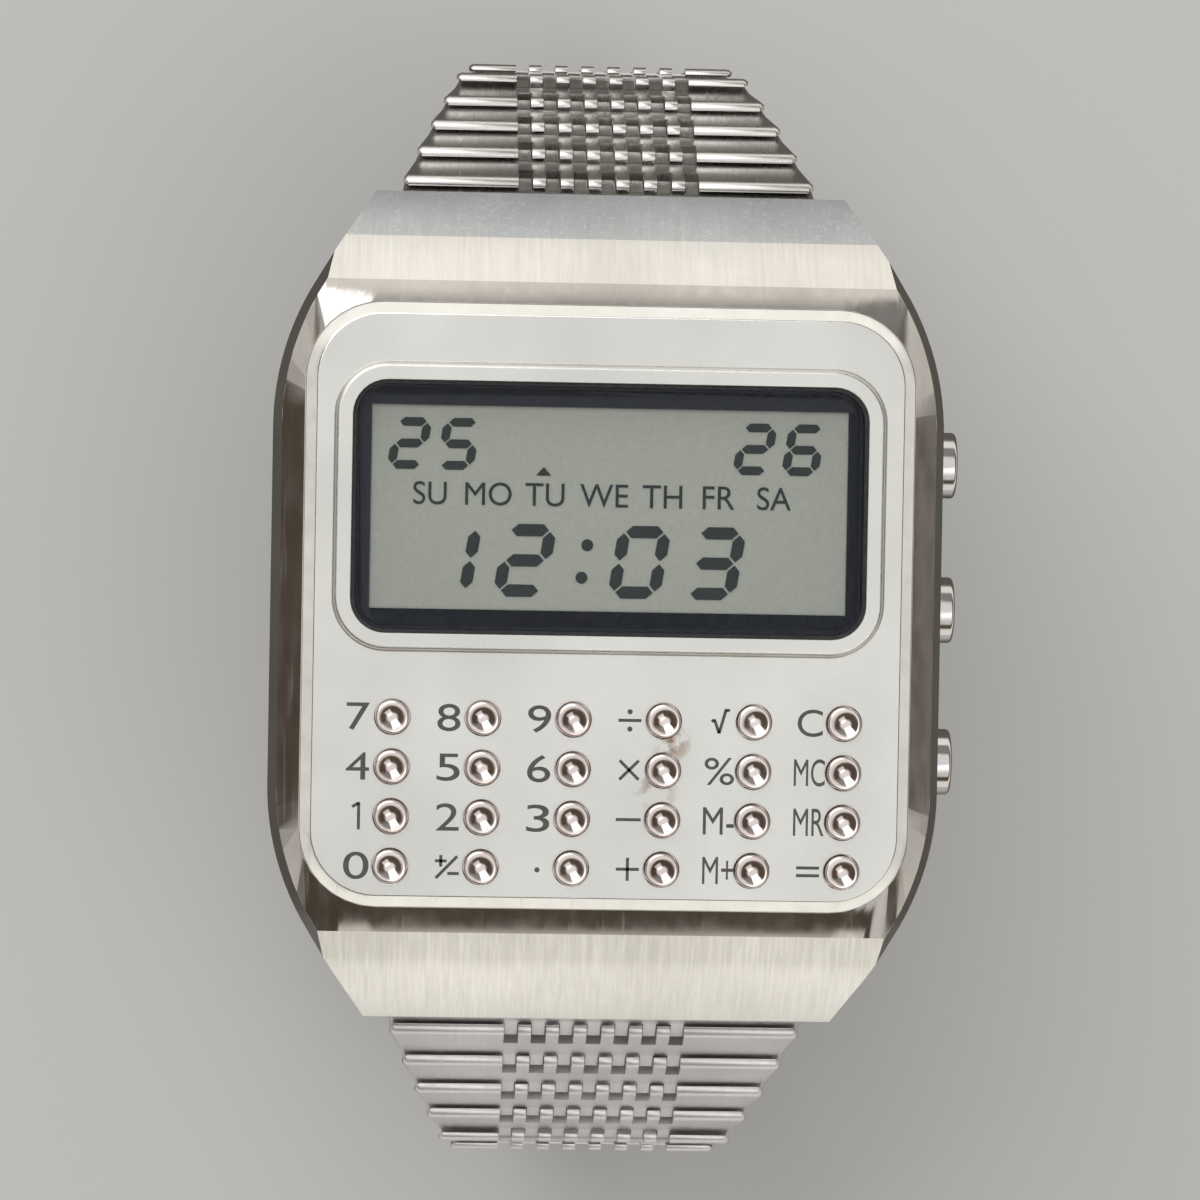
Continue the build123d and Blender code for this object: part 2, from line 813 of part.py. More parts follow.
def link(number, pivot):
    """One link, with its near hinge on the X axis and its far hinge one pitch along Y."""
    first = number == 0
    last = number == link_count - 1
    near_half = link_half_width(number)
    far_half = link_half_width(number + 1)
    if first:
        profile = end_loop_points()
    else:
        profile = nose_points([(inner_face + inner_relief, -link_bottom),
                               (inner_face, nose_bottom)])
    far_end = link_pitch if last else link_pitch + tail_reach
    profile += [(slope_end(), tail_top), (far_end, tail_top)]
    profile += [(link_pitch + tail_reach - tail_relief, -link_bottom)]
    body = side_prism(profile, -near_half, near_half)
    if not first:
        body -= lattice_room(-link_pitch, root_near)
        body += near_teeth(shown_columns if number <= shown_links else hidden_columns, pivot)
    if last:
        hole = clasp_bar_radius + clasp_bar_clearance
        outer = hole + clasp_loop_wall
        body += loop_room(link_pitch, 0, outer, -far_half, far_half)
        body -= loop_room(link_pitch, 0, hole, -far_half, far_half)
    else:
        body -= lattice_room(link_pitch - root_far, 2 * link_pitch)
        body += far_teeth(shown_columns if number < shown_links else hidden_columns)
    if near_half > far_half:
        body &= side_taper(near_half, far_half)
    if first:
        body -= loop_room(0, 0, lug_bar_radius + end_loop_clearance, -near_half, near_half)
    return body


def open_knuckle(body):
    """Cut the room for the clasp's centre knuckle out of a last link."""
    outer = clasp_bar_radius + clasp_bar_clearance + clasp_loop_wall
    room = sqrt(2) * outer + clasp_side_gap
    return body - loop_room(link_pitch, 0, room, -clasp_lug_gap, clasp_lug_gap)


def strand(name, turn, start_tilt, tilt_step, open_end):
    """Write the links of one strand, a node for each segment."""
    places, tilts = strand_path(start_tilt, tilt_step)
    first = 0
    for segment, size in enumerate(segment_sizes):
        solids = []
        for number in range(first, first + size):
            body = link(number, number == first)
            if open_end and number == link_count - 1:
                body = open_knuckle(body)
            y, z = places[number]
            placed = Pos(0, y, z) * Rot(tilts[number] - 90, 0, 0) * body
            solids.append(only(Rot(0, 0, turn) * placed))
        save(name + "_links_" + str(segment + 1), solids)
        print(name, "hinge", segment + 1, [round(value, 4) for value in places[first]])
        first += size
    return places[-1]


# Clasp: a three-fold clasp drawn flat between the ends of the two strands
def clasp_cover(length):
    """The outer shell with side walls, its spring bar and its hinge pin."""
    wall_in = link_last_width / 2 + clasp_side_gap
    wall_out = wall_in + clasp_wall
    hinge_y = length - cover_hinge_back
    start = -clasp_cover_reach
    end = hinge_y + cover_end_reach
    shell = side_prism([(start, clasp_cover_bottom), (end, clasp_cover_bottom),
                        (end, clasp_cover_wall_top), (start, clasp_cover_wall_top)],
                       -wall_out, wall_out)
    shell = chamfer(shell.edges().filter_by(Axis.Y).group_by(Axis.Z)[0], clasp_cover_chamfer)
    shell -= side_prism([(start, clasp_cover_top), (end, clasp_cover_top),
                         (end, clasp_cover_wall_top), (start, clasp_cover_wall_top)],
                        -wall_in, wall_in)
    bar = cross_rod(clasp_bar_radius, -wall_in, wall_in)
    pin = cross_rod(hinge_pin_radius, -wall_in, wall_in, hinge_y, cover_hinge_depth)
    return [only(shell), only(bar), only(pin)]


def middle_blade(length):
    """The blade that the cover folds over, with the pin of the inner hinge."""
    half = middle_blade_half_width
    hinge_y = length - cover_hinge_back
    blade = side_prism([(blade_hinge_place, middle_blade_bottom), (hinge_y, middle_blade_bottom),
                        (hinge_y, middle_blade_top), (blade_hinge_place, middle_blade_top)],
                       -half, half)
    hole = hinge_pin_radius + hinge_pin_clearance
    outer = hole + hinge_loop_wall
    blade += hidden_rod(outer, -half, half, hinge_y, cover_hinge_depth)
    blade += loop_room(blade_hinge_place, blade_hinge_depth, outer, -half, half)
    room = sqrt(2) * outer + hinge_gap
    blade -= square_block(2 * clasp_lug_gap, 2 * room, middle_blade_bottom - overrun,
                          inner_blade_top + overrun, 0, blade_hinge_place)
    middle_y = (blade_hinge_place + hinge_y) / 2
    blade -= square_block(2 * blade_slot_half_width, blade_slot_length,
                          middle_blade_bottom - overrun, middle_blade_top + overrun, 0, middle_y)
    blade -= loop_room(hinge_y, cover_hinge_depth, hole, -half, half)
    pin = cross_rod(hinge_pin_radius, -half, half, blade_hinge_place, blade_hinge_depth)
    blade -= loop_room(blade_hinge_place, blade_hinge_depth, hinge_pin_radius, -half, half)
    return [only(blade), only(pin)]


def inner_blade(length):
    """The blade next to the wrist, which ends in the knuckle of the other strand."""
    half = inner_blade_half_width
    knuckle = clasp_knuckle_half_width
    hole = hinge_pin_radius + hinge_pin_clearance
    outer = hole + hinge_loop_wall
    start = blade_hinge_place + sqrt(2) * outer + hinge_gap
    tip_outer = clasp_bar_radius + clasp_loop_wall
    end = length - sqrt(2) * tip_outer - clasp_side_gap
    blade = side_prism([(start, inner_blade_bottom), (end, inner_blade_bottom),
                        (end, inner_blade_top), (start, inner_blade_top)], -half, half)
    blade += side_prism([(blade_hinge_place, inner_blade_bottom), (length, inner_blade_bottom),
                         (length, inner_blade_top), (blade_hinge_place, inner_blade_top)],
                        -knuckle, knuckle)
    blade += loop_room(blade_hinge_place, blade_hinge_depth, outer, -knuckle, knuckle)
    blade += loop_room(length, 0, tip_outer, -knuckle, knuckle)
    blade -= loop_room(blade_hinge_place, blade_hinge_depth, hole, -knuckle, knuckle)
    blade -= loop_room(length, 0, clasp_bar_radius, -knuckle, knuckle)
    return [only(blade)]


def clasp_end_bar(length):
    """The spring bar in the inner blade's knuckle, with its tips drawn in."""
    return [only(hidden_rod(clasp_bar_radius, -clasp_knuckle_half_width,
                            clasp_knuckle_half_width, length))]


def build_watch():
    save("case_body", [case_body()])
    save("face_plate", [face_plate()])
    save("crystal", [crystal()])
    save("crystal_gasket", [crystal_gasket()])
    save("display_mask", [display_mask()])
    save("lcd_panel", [lcd_panel()])
    save("connector_strips", connector_strips())
    save("key_contact_sheet", [key_contact_sheet()])
    save("module_frame", [module_frame()])
    save("circuit_board", [circuit_board()])
    save("processor_chip", [processor_chip()])
    save("quartz_can", [quartz_can()])
    save("button_cells", button_cells())
    save("cell_clip", [cell_clip()])
    save("back_cover", [back_cover()])
    save("back_gasket", [back_gasket()])
    save("lug_spring_bars", lug_spring_bars())
    for name, x, y in key_places():
        save(name, [key(x, y)])
    for name, y in zip(("top", "middle", "bottom"), pusher_ys):
        save("pusher_" + name, [pusher(y)])
        save("pusher_spring_" + name, [pusher_spring(y)])
    upper_y, upper_z = strand("upper", 0, upper_start_tilt, upper_tilt_step, True)
    lower_y, lower_z = strand("lower", 180, lower_start_tilt, lower_tilt_step, False)
    along = upper_y + lower_y
    rise = upper_z - lower_z
    length = hypot(along, rise)
    tilt = degrees(atan2(rise, along))
    place = Pos(0, -lower_y, lower_z) * Rot(tilt, 0, 0)
    pieces = {
        "clasp_cover": clasp_cover(length),
        "clasp_middle_blade": middle_blade(length),
        "clasp_inner_blade": inner_blade(length),
        "clasp_end_bar": clasp_end_bar(length),
    }
    for name, solids in pieces.items():
        save(name, [place * solid for solid in solids])
    print("clasp", [round(value, 4) for value in (lower_y, lower_z, upper_y, upper_z, length)])
    print("clasp tilt", round(tilt, 4))


build_watch()
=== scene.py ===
# %% [markdown]
# # A steel watch with a keypad
# The real watch is a machined steel case with a bright plate let into its top. The plate carries a
# raised rim round a glass window and 24 small dished keys. The bracelet is a chain of folded steel
# links, and its middle is a lattice where the teeth of one link stand between those of the next.
# The measured model comes first, as a frame. Every piece below is modelled over it and rides on it.

# %% Load the frame
import bpy
from math import asin, atan2, cos, degrees, hypot, pi, radians, sin, sqrt
from mathutils import Matrix, Vector


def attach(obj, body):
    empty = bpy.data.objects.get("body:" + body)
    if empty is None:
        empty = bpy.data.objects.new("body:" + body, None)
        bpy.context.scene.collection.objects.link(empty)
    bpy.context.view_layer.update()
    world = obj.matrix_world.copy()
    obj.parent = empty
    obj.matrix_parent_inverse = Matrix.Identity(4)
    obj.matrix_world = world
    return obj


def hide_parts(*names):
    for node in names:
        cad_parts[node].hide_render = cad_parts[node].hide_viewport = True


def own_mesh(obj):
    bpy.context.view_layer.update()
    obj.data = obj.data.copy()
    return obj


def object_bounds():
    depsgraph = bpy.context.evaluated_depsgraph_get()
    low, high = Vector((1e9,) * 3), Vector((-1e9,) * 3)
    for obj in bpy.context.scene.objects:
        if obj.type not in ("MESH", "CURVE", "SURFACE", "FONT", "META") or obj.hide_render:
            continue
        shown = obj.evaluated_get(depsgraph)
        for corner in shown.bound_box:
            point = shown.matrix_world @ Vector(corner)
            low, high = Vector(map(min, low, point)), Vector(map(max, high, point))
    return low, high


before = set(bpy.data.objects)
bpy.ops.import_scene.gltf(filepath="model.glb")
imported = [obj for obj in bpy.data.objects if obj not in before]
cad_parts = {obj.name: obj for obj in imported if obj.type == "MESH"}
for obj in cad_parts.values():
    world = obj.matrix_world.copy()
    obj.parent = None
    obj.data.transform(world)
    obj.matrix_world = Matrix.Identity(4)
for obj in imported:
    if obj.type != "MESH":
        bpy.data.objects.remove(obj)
cad_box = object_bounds()
mm = 0.001
print("frame loaded, box in metres:", [[round(value, 4) for value in row] for row in cad_box])

# %% [markdown]
# ## Small tools
# A flat face can take any outline: a circle primitive with as many corners as needed is added, and
# each corner is set to its place. Extruded, it closes to a block. Most pieces of a watch start
# like this, because most were cut or pressed from flat stock.

# %% Outlines and blocks
touching = 0.001


def deselect():
    """Leave nothing selected."""
    bpy.ops.object.select_all(action="DESELECT")


def mode(name):
    """Switch between editing a mesh and handling the whole piece."""
    bpy.ops.object.mode_set(mode=name)


def pick(piece):
    """Select one piece alone."""
    deselect()
    piece.select_set(True)
    bpy.context.view_layer.objects.active = piece


def flat_outline(name, corners):
    """One flat face with its corners at given places, in millimetres."""
    deselect()
    bpy.ops.mesh.primitive_circle_add(vertices=len(corners), radius=mm, fill_type="NGON")
    piece = bpy.context.object
    piece.name = name
    for vertex, corner in zip(piece.data.vertices, corners):
        vertex.co = Vector(corner) * mm
    return piece


def extrude_along(piece, *moves):
    """Carry a flat face along each move, which closes it to a block."""
    mode("EDIT")
    bpy.ops.mesh.select_all(action="SELECT")
    for move in moves:
        bpy.ops.mesh.extrude_region_move(TRANSFORM_OT_translate={"value": Vector(move) * mm})
    bpy.ops.mesh.select_all(action="SELECT")
    bpy.ops.mesh.normals_make_consistent(inside=False)
    mode("OBJECT")


def flat_block(name, plan, low, high):
    """A block that stands between two heights."""
    piece = flat_outline(name, [(x, y, low) for x, y in plan])
    extrude_along(piece, (0, 0, high - low))
    return piece


def tower(name, levels):
    """A block whose plan changes with height. All plans have as many corners."""
    low, plan = levels[0]
    piece = flat_outline(name, [(x, y, low) for x, y in plan])
    extrude_along(piece, *[(0, 0, high - low) for (low, _), (high, _) in zip(levels, levels[1:])])
    for height, new_plan in levels[1:]:
        for vertex in piece.data.vertices:
            x, y, z = vertex.co / mm
            if abs(z - height) < touching:
                gaps = [hypot(x - old_x, y - old_y) for old_x, old_y in plan]
                vertex.co = Vector((*new_plan[gaps.index(min(gaps))], height)) * mm
    return piece


def side_block(name, profile, start, end):
    """A block with a profile in Y and Z that runs along X."""
    piece = flat_outline(name, [(start, y, z) for y, z in profile])
    extrude_along(piece, (end - start, 0, 0))
    return piece


def oblong(start, end, low, high):
    """The four corners of a rectangle."""
    return [(start, low), (end, low), (end, high), (start, high)]


def arc(centre, radius, start, end, steps):
    """Points on an arc, with its angles in degrees."""
    points = []
    for step in range(steps + 1):
        angle = radians(start + (end - start) * step / steps)
        points.append((centre[0] + radius * cos(angle), centre[1] + radius * sin(angle)))
    return points


def ring(centre, radius, sides):
    """Corners all round a circle."""
    return arc(centre, radius, 0, 360 - 360 / sides, sides - 1)


def rounded_plan(width, length, corner, centre_y=0, steps=8):
    """A rectangle with round corners."""
    x = width / 2 - corner
    y = length / 2 - corner
    points = []
    for quarter, (side, end) in enumerate(((1, 1), (-1, 1), (-1, -1), (1, -1))):
        centre = (side * x, centre_y + end * y)
        points += arc(centre, corner, 90 * quarter, 90 * quarter + 90, steps)
    return points


# %% [markdown]
# ## Cutting, joining and rounding
# A boolean modifier takes one block out of another or melts the two together. A bevel modifier
# rounds every edge that is sharper than a set angle. Steel edges are never quite sharp, and the
# thin highlight along them makes a render read as metal. Weighted normals keep large faces flat.

# %% Modifiers that are applied
def apply_modifier(piece, modifier):
    """Put a modifier's result into the mesh."""
    pick(piece)
    bpy.ops.object.modifier_apply(modifier=modifier.name)


def combine(piece, tools, operation):
    """Cut tools out or melt them in, and throw them away."""
    for tool in tools:
        boolean = piece.modifiers.new("Combine", "BOOLEAN")
        boolean.operation = operation
        boolean.solver = "EXACT"
        boolean.object = tool
        apply_modifier(piece, boolean)
        bpy.data.objects.remove(tool)


def cut(piece, *tools):
    """Cut tools out of a piece."""
    combine(piece, tools, "DIFFERENCE")


def melt(piece, *tools):
    """Melt tools into a piece."""
    combine(piece, tools, "UNION")


def join(*pieces):
    """Make several pieces one object without melting them."""
    pick(pieces[0])
    for piece in pieces:
        piece.select_set(True)
    bpy.ops.object.join()
    return pieces[0]


def round_edges(piece, width, steps=2, sharper_than=28):
    """Round the sharp edges and shade what is left smooth."""
    bevel = piece.modifiers.new("Round edges", "BEVEL")
    bevel.width = width * mm
    bevel.segments = steps
    bevel.limit_method = "ANGLE"
    bevel.angle_limit = radians(sharper_than)
    apply_modifier(piece, bevel)
    bpy.ops.object.shade_smooth_by_angle(angle=radians(sharper_than))
    even = piece.modifiers.new("Even normals", "WEIGHTED_NORMAL")
    even.keep_sharp = True
    apply_modifier(piece, even)


def edit_edges(piece, chosen):
    """Edit a piece with those edges selected whose two ends pass a test."""
    pick(piece)
    mode("EDIT")
    bpy.ops.mesh.select_mode(type="EDGE")
    bpy.ops.mesh.select_all(action="DESELECT")
    mode("OBJECT")
    for edge in piece.data.edges:
        ends = [piece.data.vertices[index].co / mm for index in edge.vertices]
        edge.select = all(chosen(*end) for end in ends)
    mode("EDIT")


def bevel_where(piece, width, steps, chosen):
    """Bevel the edges whose two ends pass a test, in millimetres."""
    edit_edges(piece, chosen)
    bpy.ops.mesh.bevel(offset=width * mm, segments=steps, affect="EDGES")
    mode("OBJECT")


def rod(name, radius, start, end, y=0, z=0, sides=32):
    """A round rod along X."""
    deselect()
    bpy.ops.mesh.primitive_cylinder_add(
        vertices=sides, radius=radius * mm, depth=(end - start) * mm,
        location=((start + end) / 2 * mm, y * mm, z * mm), rotation=(0, pi / 2, 0))
    piece = bpy.context.object
    piece.name = name
    bpy.ops.object.transform_apply(location=True, rotation=True, scale=True)
    return piece


def copy_of(piece, name):
    """A copy with a mesh of its own."""
    pick(piece)
    bpy.ops.object.duplicate(linked=False)
    twin = bpy.context.object
    twin.name = name
    return twin


def move_to(piece, matrix):
    """Move the mesh of a piece by a matrix."""
    pick(piece)
    piece.matrix_world = matrix
    bpy.ops.object.transform_apply(location=True, rotation=True, scale=True)


def shift(x=0, y=0, z=0):
    """A move in millimetres, as a matrix."""
    return Matrix.Translation(Vector((x, y, z)) * mm)


# %% [markdown]
# ## Turned pieces
# Keys and pushers come off a lathe. Half of their section is drawn beside the axis, the edge that
# lies on the axis is deleted, and the spin operator carries the rest once round.

# %% The lathe
def turned(name, half_section, steps, sharper_than=35):
    """Spin a half section of radii and heights round the Z axis."""
    deselect()
    bpy.ops.mesh.primitive_circle_add(vertices=len(half_section), radius=mm, fill_type="NOTHING")
    piece = bpy.context.object
    piece.name = name
    for vertex, (radius, height) in zip(piece.data.vertices, half_section):
        vertex.co = Vector((radius, 0, height)) * mm
    edit_edges(piece, lambda x, y, z: x < touching)
    bpy.ops.mesh.delete(type="EDGE")
    bpy.ops.mesh.select_all(action="SELECT")
    bpy.ops.mesh.spin(steps=steps, angle=2 * pi, center=(0, 0, 0), axis=(0, 0, 1))
    bpy.ops.mesh.select_all(action="SELECT")
    bpy.ops.mesh.remove_doubles(threshold=touching * mm / 2)
    bpy.ops.mesh.normals_make_consistent(inside=False)
    mode("OBJECT")
    bpy.ops.object.shade_smooth_by_angle(angle=radians(sharper_than))
    return piece


# %% [markdown]
# ## Finishes
# All metal here is one idea with different numbers: roughness and bump come from noise, and
# brushing is noise stretched one way. Object coordinates keep the grain on a piece that moves.

# %% Node helpers
even_grain = (1, 1, 1)
whole = (0, 1)


def new_finish(name, colour, metallic, roughness):
    """A material with one shader and its plain numbers."""
    finish = bpy.data.materials.new(name)
    finish.use_nodes = True
    tree = finish.node_tree
    shader = tree.nodes["Principled BSDF"]
    shader.inputs["Base Color"].default_value = (*colour, 1)
    shader.inputs["Metallic"].default_value = metallic
    shader.inputs["Roughness"].default_value = roughness
    return finish, tree, shader


def feed(tree, value, socket):
    """Link a socket to another one, or set it to a plain value."""
    if isinstance(value, bpy.types.NodeSocket):
        tree.links.new(value, socket)
    else:
        socket.default_value = (*value, 1) if socket.type == "RGBA" else value


def add_node(tree, kind, inputs):
    """One node with its inputs, which are plain values or other sockets."""
    node = tree.nodes.new("ShaderNode" + kind)
    for key, value in inputs.items():
        feed(tree, value, node.inputs[key])
    return node


def coordinates(tree, kind="Object"):
    """Where a point lies on its own piece, or in the sky."""
    return tree.nodes.new("ShaderNodeTexCoord").outputs[kind]


def calculate(tree, operation, *values):
    """One step of arithmetic on sockets or plain numbers."""
    node = add_node(tree, "Math", dict(enumerate(values)))
    node.operation = operation
    return node.outputs["Value"]


def noise(tree, scale, stretch=even_grain, detail=4, turn=0):
    """Noise on object coordinates, stretched and turned about Z."""
    mapping = add_node(tree, "Mapping", {"Vector": coordinates(tree), "Scale": stretch,
                                         "Rotation": (0, 0, radians(turn))})
    return add_node(tree, "TexNoise", {"Vector": mapping.outputs["Vector"], "Scale": scale,
                                       "Detail": detail}).outputs["Fac"]


def spread(tree, value, to_span, from_span=(0.3, 0.7)):
    """Map a value from one span to another. Noise mostly fills 0.3 to 0.7."""
    ends = dict(zip(("From Min", "From Max", "To Min", "To Max"), (*from_span, *to_span)))
    return add_node(tree, "MapRange", {"Value": value, **ends}).outputs["Result"]


def blend(tree, factor, first, second):
    """Mix two colours, either of which may be a socket."""
    mix = tree.nodes.new("ShaderNodeMix")
    mix.data_type = "RGBA"
    feed(tree, factor, mix.inputs["Factor"])
    for name, colour in (("A", first), ("B", second)):
        feed(tree, colour, [s for s in mix.inputs if s.name == name and s.type == "RGBA"][0])
    return [s for s in mix.outputs if s.type == "RGBA"][0]


def camera_sees(tree, plain, shade):
    """A plain colour for the camera and a shade for the metal."""
    rays = tree.nodes.new("ShaderNodeLightPath")
    return blend(tree, rays.outputs["Is Camera Ray"], shade, plain)


def bump(tree, shader, value, strength, distance=0.01):
    """Raise and sink the surface by a value, a little."""
    node = add_node(tree, "Bump", {"Strength": strength, "Distance": distance * mm,
                                   "Height": value})
    feed(tree, node.outputs["Normal"], shader.inputs["Normal"])


# %% Metals
cloud_scale = 180
cloud_span = (0.35, 0.65)
scratch_stretch = (14, 0.6, 1)
scratch_span = (0.62, 0.72)
curl_scale = 1500
curl_width = 0.022


def steel(name, colour, shade, roughness, grain, grain_bump, curled=0):
    """Steel with a grain and scratches. Curls are where a noise passes its middle value."""
    finish, tree, shader = new_finish(name + " steel", colour, 1, roughness[0])
    lines = noise(tree, *grain, 6)
    cloud = noise(tree, cloud_scale, detail=3)
    scratches = noise(tree, 260, scratch_stretch, 2, 37)
    tint = blend(tree, spread(tree, cloud, whole, cloud_span), colour, shade)
    marks = spread(tree, scratches, whole, scratch_span)
    colour_out = blend(tree, spread(tree, lines, (0, 0.35)), tint, shade)
    if curled:
        pale = tuple(min(1, part * 1.5) for part in colour)
        offset = calculate(tree, "SUBTRACT", noise(tree, curl_scale, detail=2), 0.5)
        curls = spread(tree, calculate(tree, "ABSOLUTE", offset), (curled, 0), (0, curl_width))
        colour_out = blend(tree, curls, colour_out, pale)
    feed(tree, colour_out, shader.inputs["Base Color"])
    dullness = calculate(tree, "ADD", spread(tree, lines, roughness),
                         spread(tree, marks, (0, 0.08), whole))
    feed(tree, dullness, shader.inputs["Roughness"])
    bump(tree, shader, lines, grain_bump)
    return finish


case_grain = (5200, (1, 0.06, 0.06))
link_grain = (4200, (1, 0.04, 0.04))
polish_grain = (1500, (1, 0.3, 1))
clasp_grain = (3000, (1, 0.04, 0.04))
back_grain = (2500, (0.05, 1, 0.05))
bright_grain = (900, even_grain)
slope_steel = steel(
    "brushed case", (0.9, 0.88, 0.84), (0.8, 0.78, 0.74), (0.22, 0.34), case_grain, 0.2)
# Scratched steel for the outer top facets: the scratches are real wear, and its darker, bluer base
# is a painted reflection.
scuffed_and_painted_reflection_steel = steel(
    "scuffed case with painted reflection", (0.64, 0.655, 0.67), (0.54, 0.555, 0.57), (0.26, 0.36), case_grain, 0.15, 0.3)
polished_steel = steel(
    "polished case", (0.66, 0.63, 0.595), (0.55, 0.52, 0.49), (0.1, 0.2), polish_grain, 0.06)
link_steel = steel(
    "bracelet", (0.82, 0.8, 0.77), (0.7, 0.68, 0.65), (0.25, 0.34), link_grain, 0.07)
# Painted shade: a darker bracelet steel for the faces behind the crest and between the teeth.
painted_shade_link_steel = steel(
    "painted shade bracelet", (0.7, 0.69, 0.66), (0.6, 0.59, 0.57), (0.2, 0.26), link_grain, 0.03)
# Painted light: the lower strand's two finishes are lighter than the upper strand's; they are also
# rougher.
soft_painted_light_link_steel = steel(
    "soft painted light bracelet", (0.86, 0.845, 0.83), (0.76, 0.745, 0.735), (0.38, 0.48), link_grain, 0.08)
soft_painted_shade_link_steel = steel(
    "soft painted shade bracelet", (0.8, 0.79, 0.78), (0.7, 0.69, 0.68), (0.36, 0.44), link_grain, 0.05)
clasp_steel = steel(
    "clasp", (0.68, 0.66, 0.63), (0.55, 0.53, 0.5), (0.26, 0.4), clasp_grain, 0.25)
back_steel = steel(
    "back", (0.62, 0.61, 0.59), (0.5, 0.49, 0.47), (0.28, 0.42), back_grain, 0.2)
bright_steel = steel(
    "bright", (0.74, 0.72, 0.7), (0.62, 0.6, 0.58), (0.07, 0.16), bright_grain, 0.05)
key_steel = steel(
    "key", (0.86, 0.78, 0.75), (0.72, 0.63, 0.6), (0.08, 0.16), bright_grain, 0.05)
edge_steel = steel(
    "plate edge", (0.92, 0.91, 0.88), (0.84, 0.83, 0.8), (0.12, 0.24), bright_grain, 0.08)

# %% [markdown]
# The plate has a dry satin grain and is stained a little beside two of the keys. The stain is a
# soft ball round a point, broken up by noise, and it only touches the colour.

# %% The plate's finish
stain_places = ((3.4, -6.9, 9.4), (2.6, -9.4, 9.4))
stain_core = 0.2
stain_radius = 1.25
plate_colour = (0.73, 0.725, 0.69)
plate_shade = (0.66, 0.655, 0.62)
stain_colour = (0.30, 0.20, 0.12)
plate_steel, tree, shader = new_finish("plate steel", plate_colour, 1, 0.34)
grain = noise(tree, 5200)
cloud = spread(tree, noise(tree, 140, detail=3), whole, cloud_span)
tint = blend(tree, cloud, plate_colour, plate_shade)
balls = []
for point in stain_places:
    distance = add_node(tree, "VectorMath", {0: coordinates(tree), 1: Vector(point) * mm})
    distance.operation = "DISTANCE"
    balls.append(spread(tree, distance.outputs["Value"], (1, 0),
                        (stain_core * mm, stain_radius * mm)))
patches = spread(tree, noise(tree, 1300, detail=5), whole, (0.48, 0.62))
stain = calculate(tree, "MULTIPLY", calculate(tree, "MAXIMUM", *balls), patches)
feed(tree, blend(tree, stain, tint, stain_colour), shader.inputs["Base Color"])
feed(tree, spread(tree, grain, (0.26, 0.42)), shader.inputs["Roughness"])
bump(tree, shader, grain, 0.25, 0.008)

# %% [markdown]
# ## Glass, display and rubber
# The glass is thin and nearly clear, so a low alpha keeps what lies under it bright and still lets
# the surface shine. The display is a dull grey-green with a fine grain, and its figures are dark.

# %% Other finishes
def plain_finish(name, colour, roughness, grain, change, alpha=1):
    """Moulded or printed stuff with a fine grain."""
    finish, tree, shader = new_finish(name, colour, 0, roughness)
    value = noise(tree, grain)
    darker = tuple(part * (1 - change) for part in colour)
    feed(tree, blend(tree, spread(tree, value, whole), colour, darker),
                   shader.inputs["Base Color"])
    feed(tree, spread(tree, value, (roughness * 0.85, min(1, roughness * 1.15))),
                   shader.inputs["Roughness"])
    shader.inputs["Alpha"].default_value = alpha
    if alpha == 1:
        bump(tree, shader, value, 0.2)
    return finish


window_glass = plain_finish("window glass", (0.02, 0.03, 0.03), 0.03, 200, 0.05, 0.10)
display_film = plain_finish("display film", (0.64, 0.68, 0.60), 0.45, 5000, 0.10)
display_ink = plain_finish("display figures", (0.030, 0.038, 0.038), 0.4, 4000, 0.2)
border_ink = plain_finish("border print", (0.012, 0.017, 0.035), 0.35, 2500, 0.2)
label_ink = plain_finish("label ink", (0.10, 0.095, 0.085), 0.45, 3000, 0.25)
rubber = plain_finish("black rubber", (0.035, 0.035, 0.038), 0.7, 2500, 0.3)
module_plastic = plain_finish("module plastic", (0.07, 0.07, 0.072), 0.5, 1800, 0.2)
board_lacquer = plain_finish("board lacquer", (0.05, 0.17, 0.09), 0.35, 1500, 0.2)


def coat(piece, finish):
    """Give a piece one finish and no other."""
    piece.data.materials.clear()
    piece.data.materials.append(finish)


def dress(piece, body, finish, slot_name, *nodes):
    """Give a piece its finish, its body and what it stands for."""
    coat(piece, finish)
    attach(piece, body)
    if nodes:
        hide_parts(*nodes)


# %% [markdown]
# ## The case
# The case is a block with cut corners. Its walls lean in a little, and a polished bevel runs along
# each side and each end up to the plate. A wide brushed slope, with one crease in it, falls from
# there to each end of the bracelet. The plan is worked out from the same few sizes as the measured
# model. Sizes of pockets are given as width, length and corner radius.

# %% Case sizes
case_half_width = 17.6
case_half_length = 21.95
case_corner_x = 12.45
shoulder_x = 15.4
shoulder_y = 17.05
flank_y = 9.4
case_low_z = 1.0
wall_low_z = 7.0
wall_high_z = 8.05
wall_lean = 0.5
crown_z = 8.75
crown_corner = (11.87, 11.7)
crown_corner_radius = 4.0
slope_top = (17.0, wall_high_z)
slope_crease = (19.4, 6.35)
slope_low = (21.95, 3.7)
slope_half_width = 19
plate_z = 9.4
plate_y = 0.1
seat_z = 8.5
seat_size = (31.8, 31.5, 4.05)
cavity_size = (29.0, 29.2, 1.2)
window_y = 5.2
pocket_profile = ((18.7, 0), (22.95, 0), (22.95, 2.09), (21.23, 4.0), (18.7, 4.0))
pocket_half_width = 11.55
pusher_ys = {"top": 7.9, "middle": 0.2, "bottom": -7.9}
pusher_z = 4.1
above_case = 11
across = case_half_width - shoulder_x
flank_radius = (across**2 + (shoulder_y - flank_y) ** 2) / (2 * across)
flank_centre_x = case_half_width - flank_radius


def all_round(quarter):
    """Mirror the points of one quarter into a whole plan."""
    plan = quarter + [(-x, y) for x, y in reversed(quarter)]
    return plan + [(-x, -y) for x, y in plan]


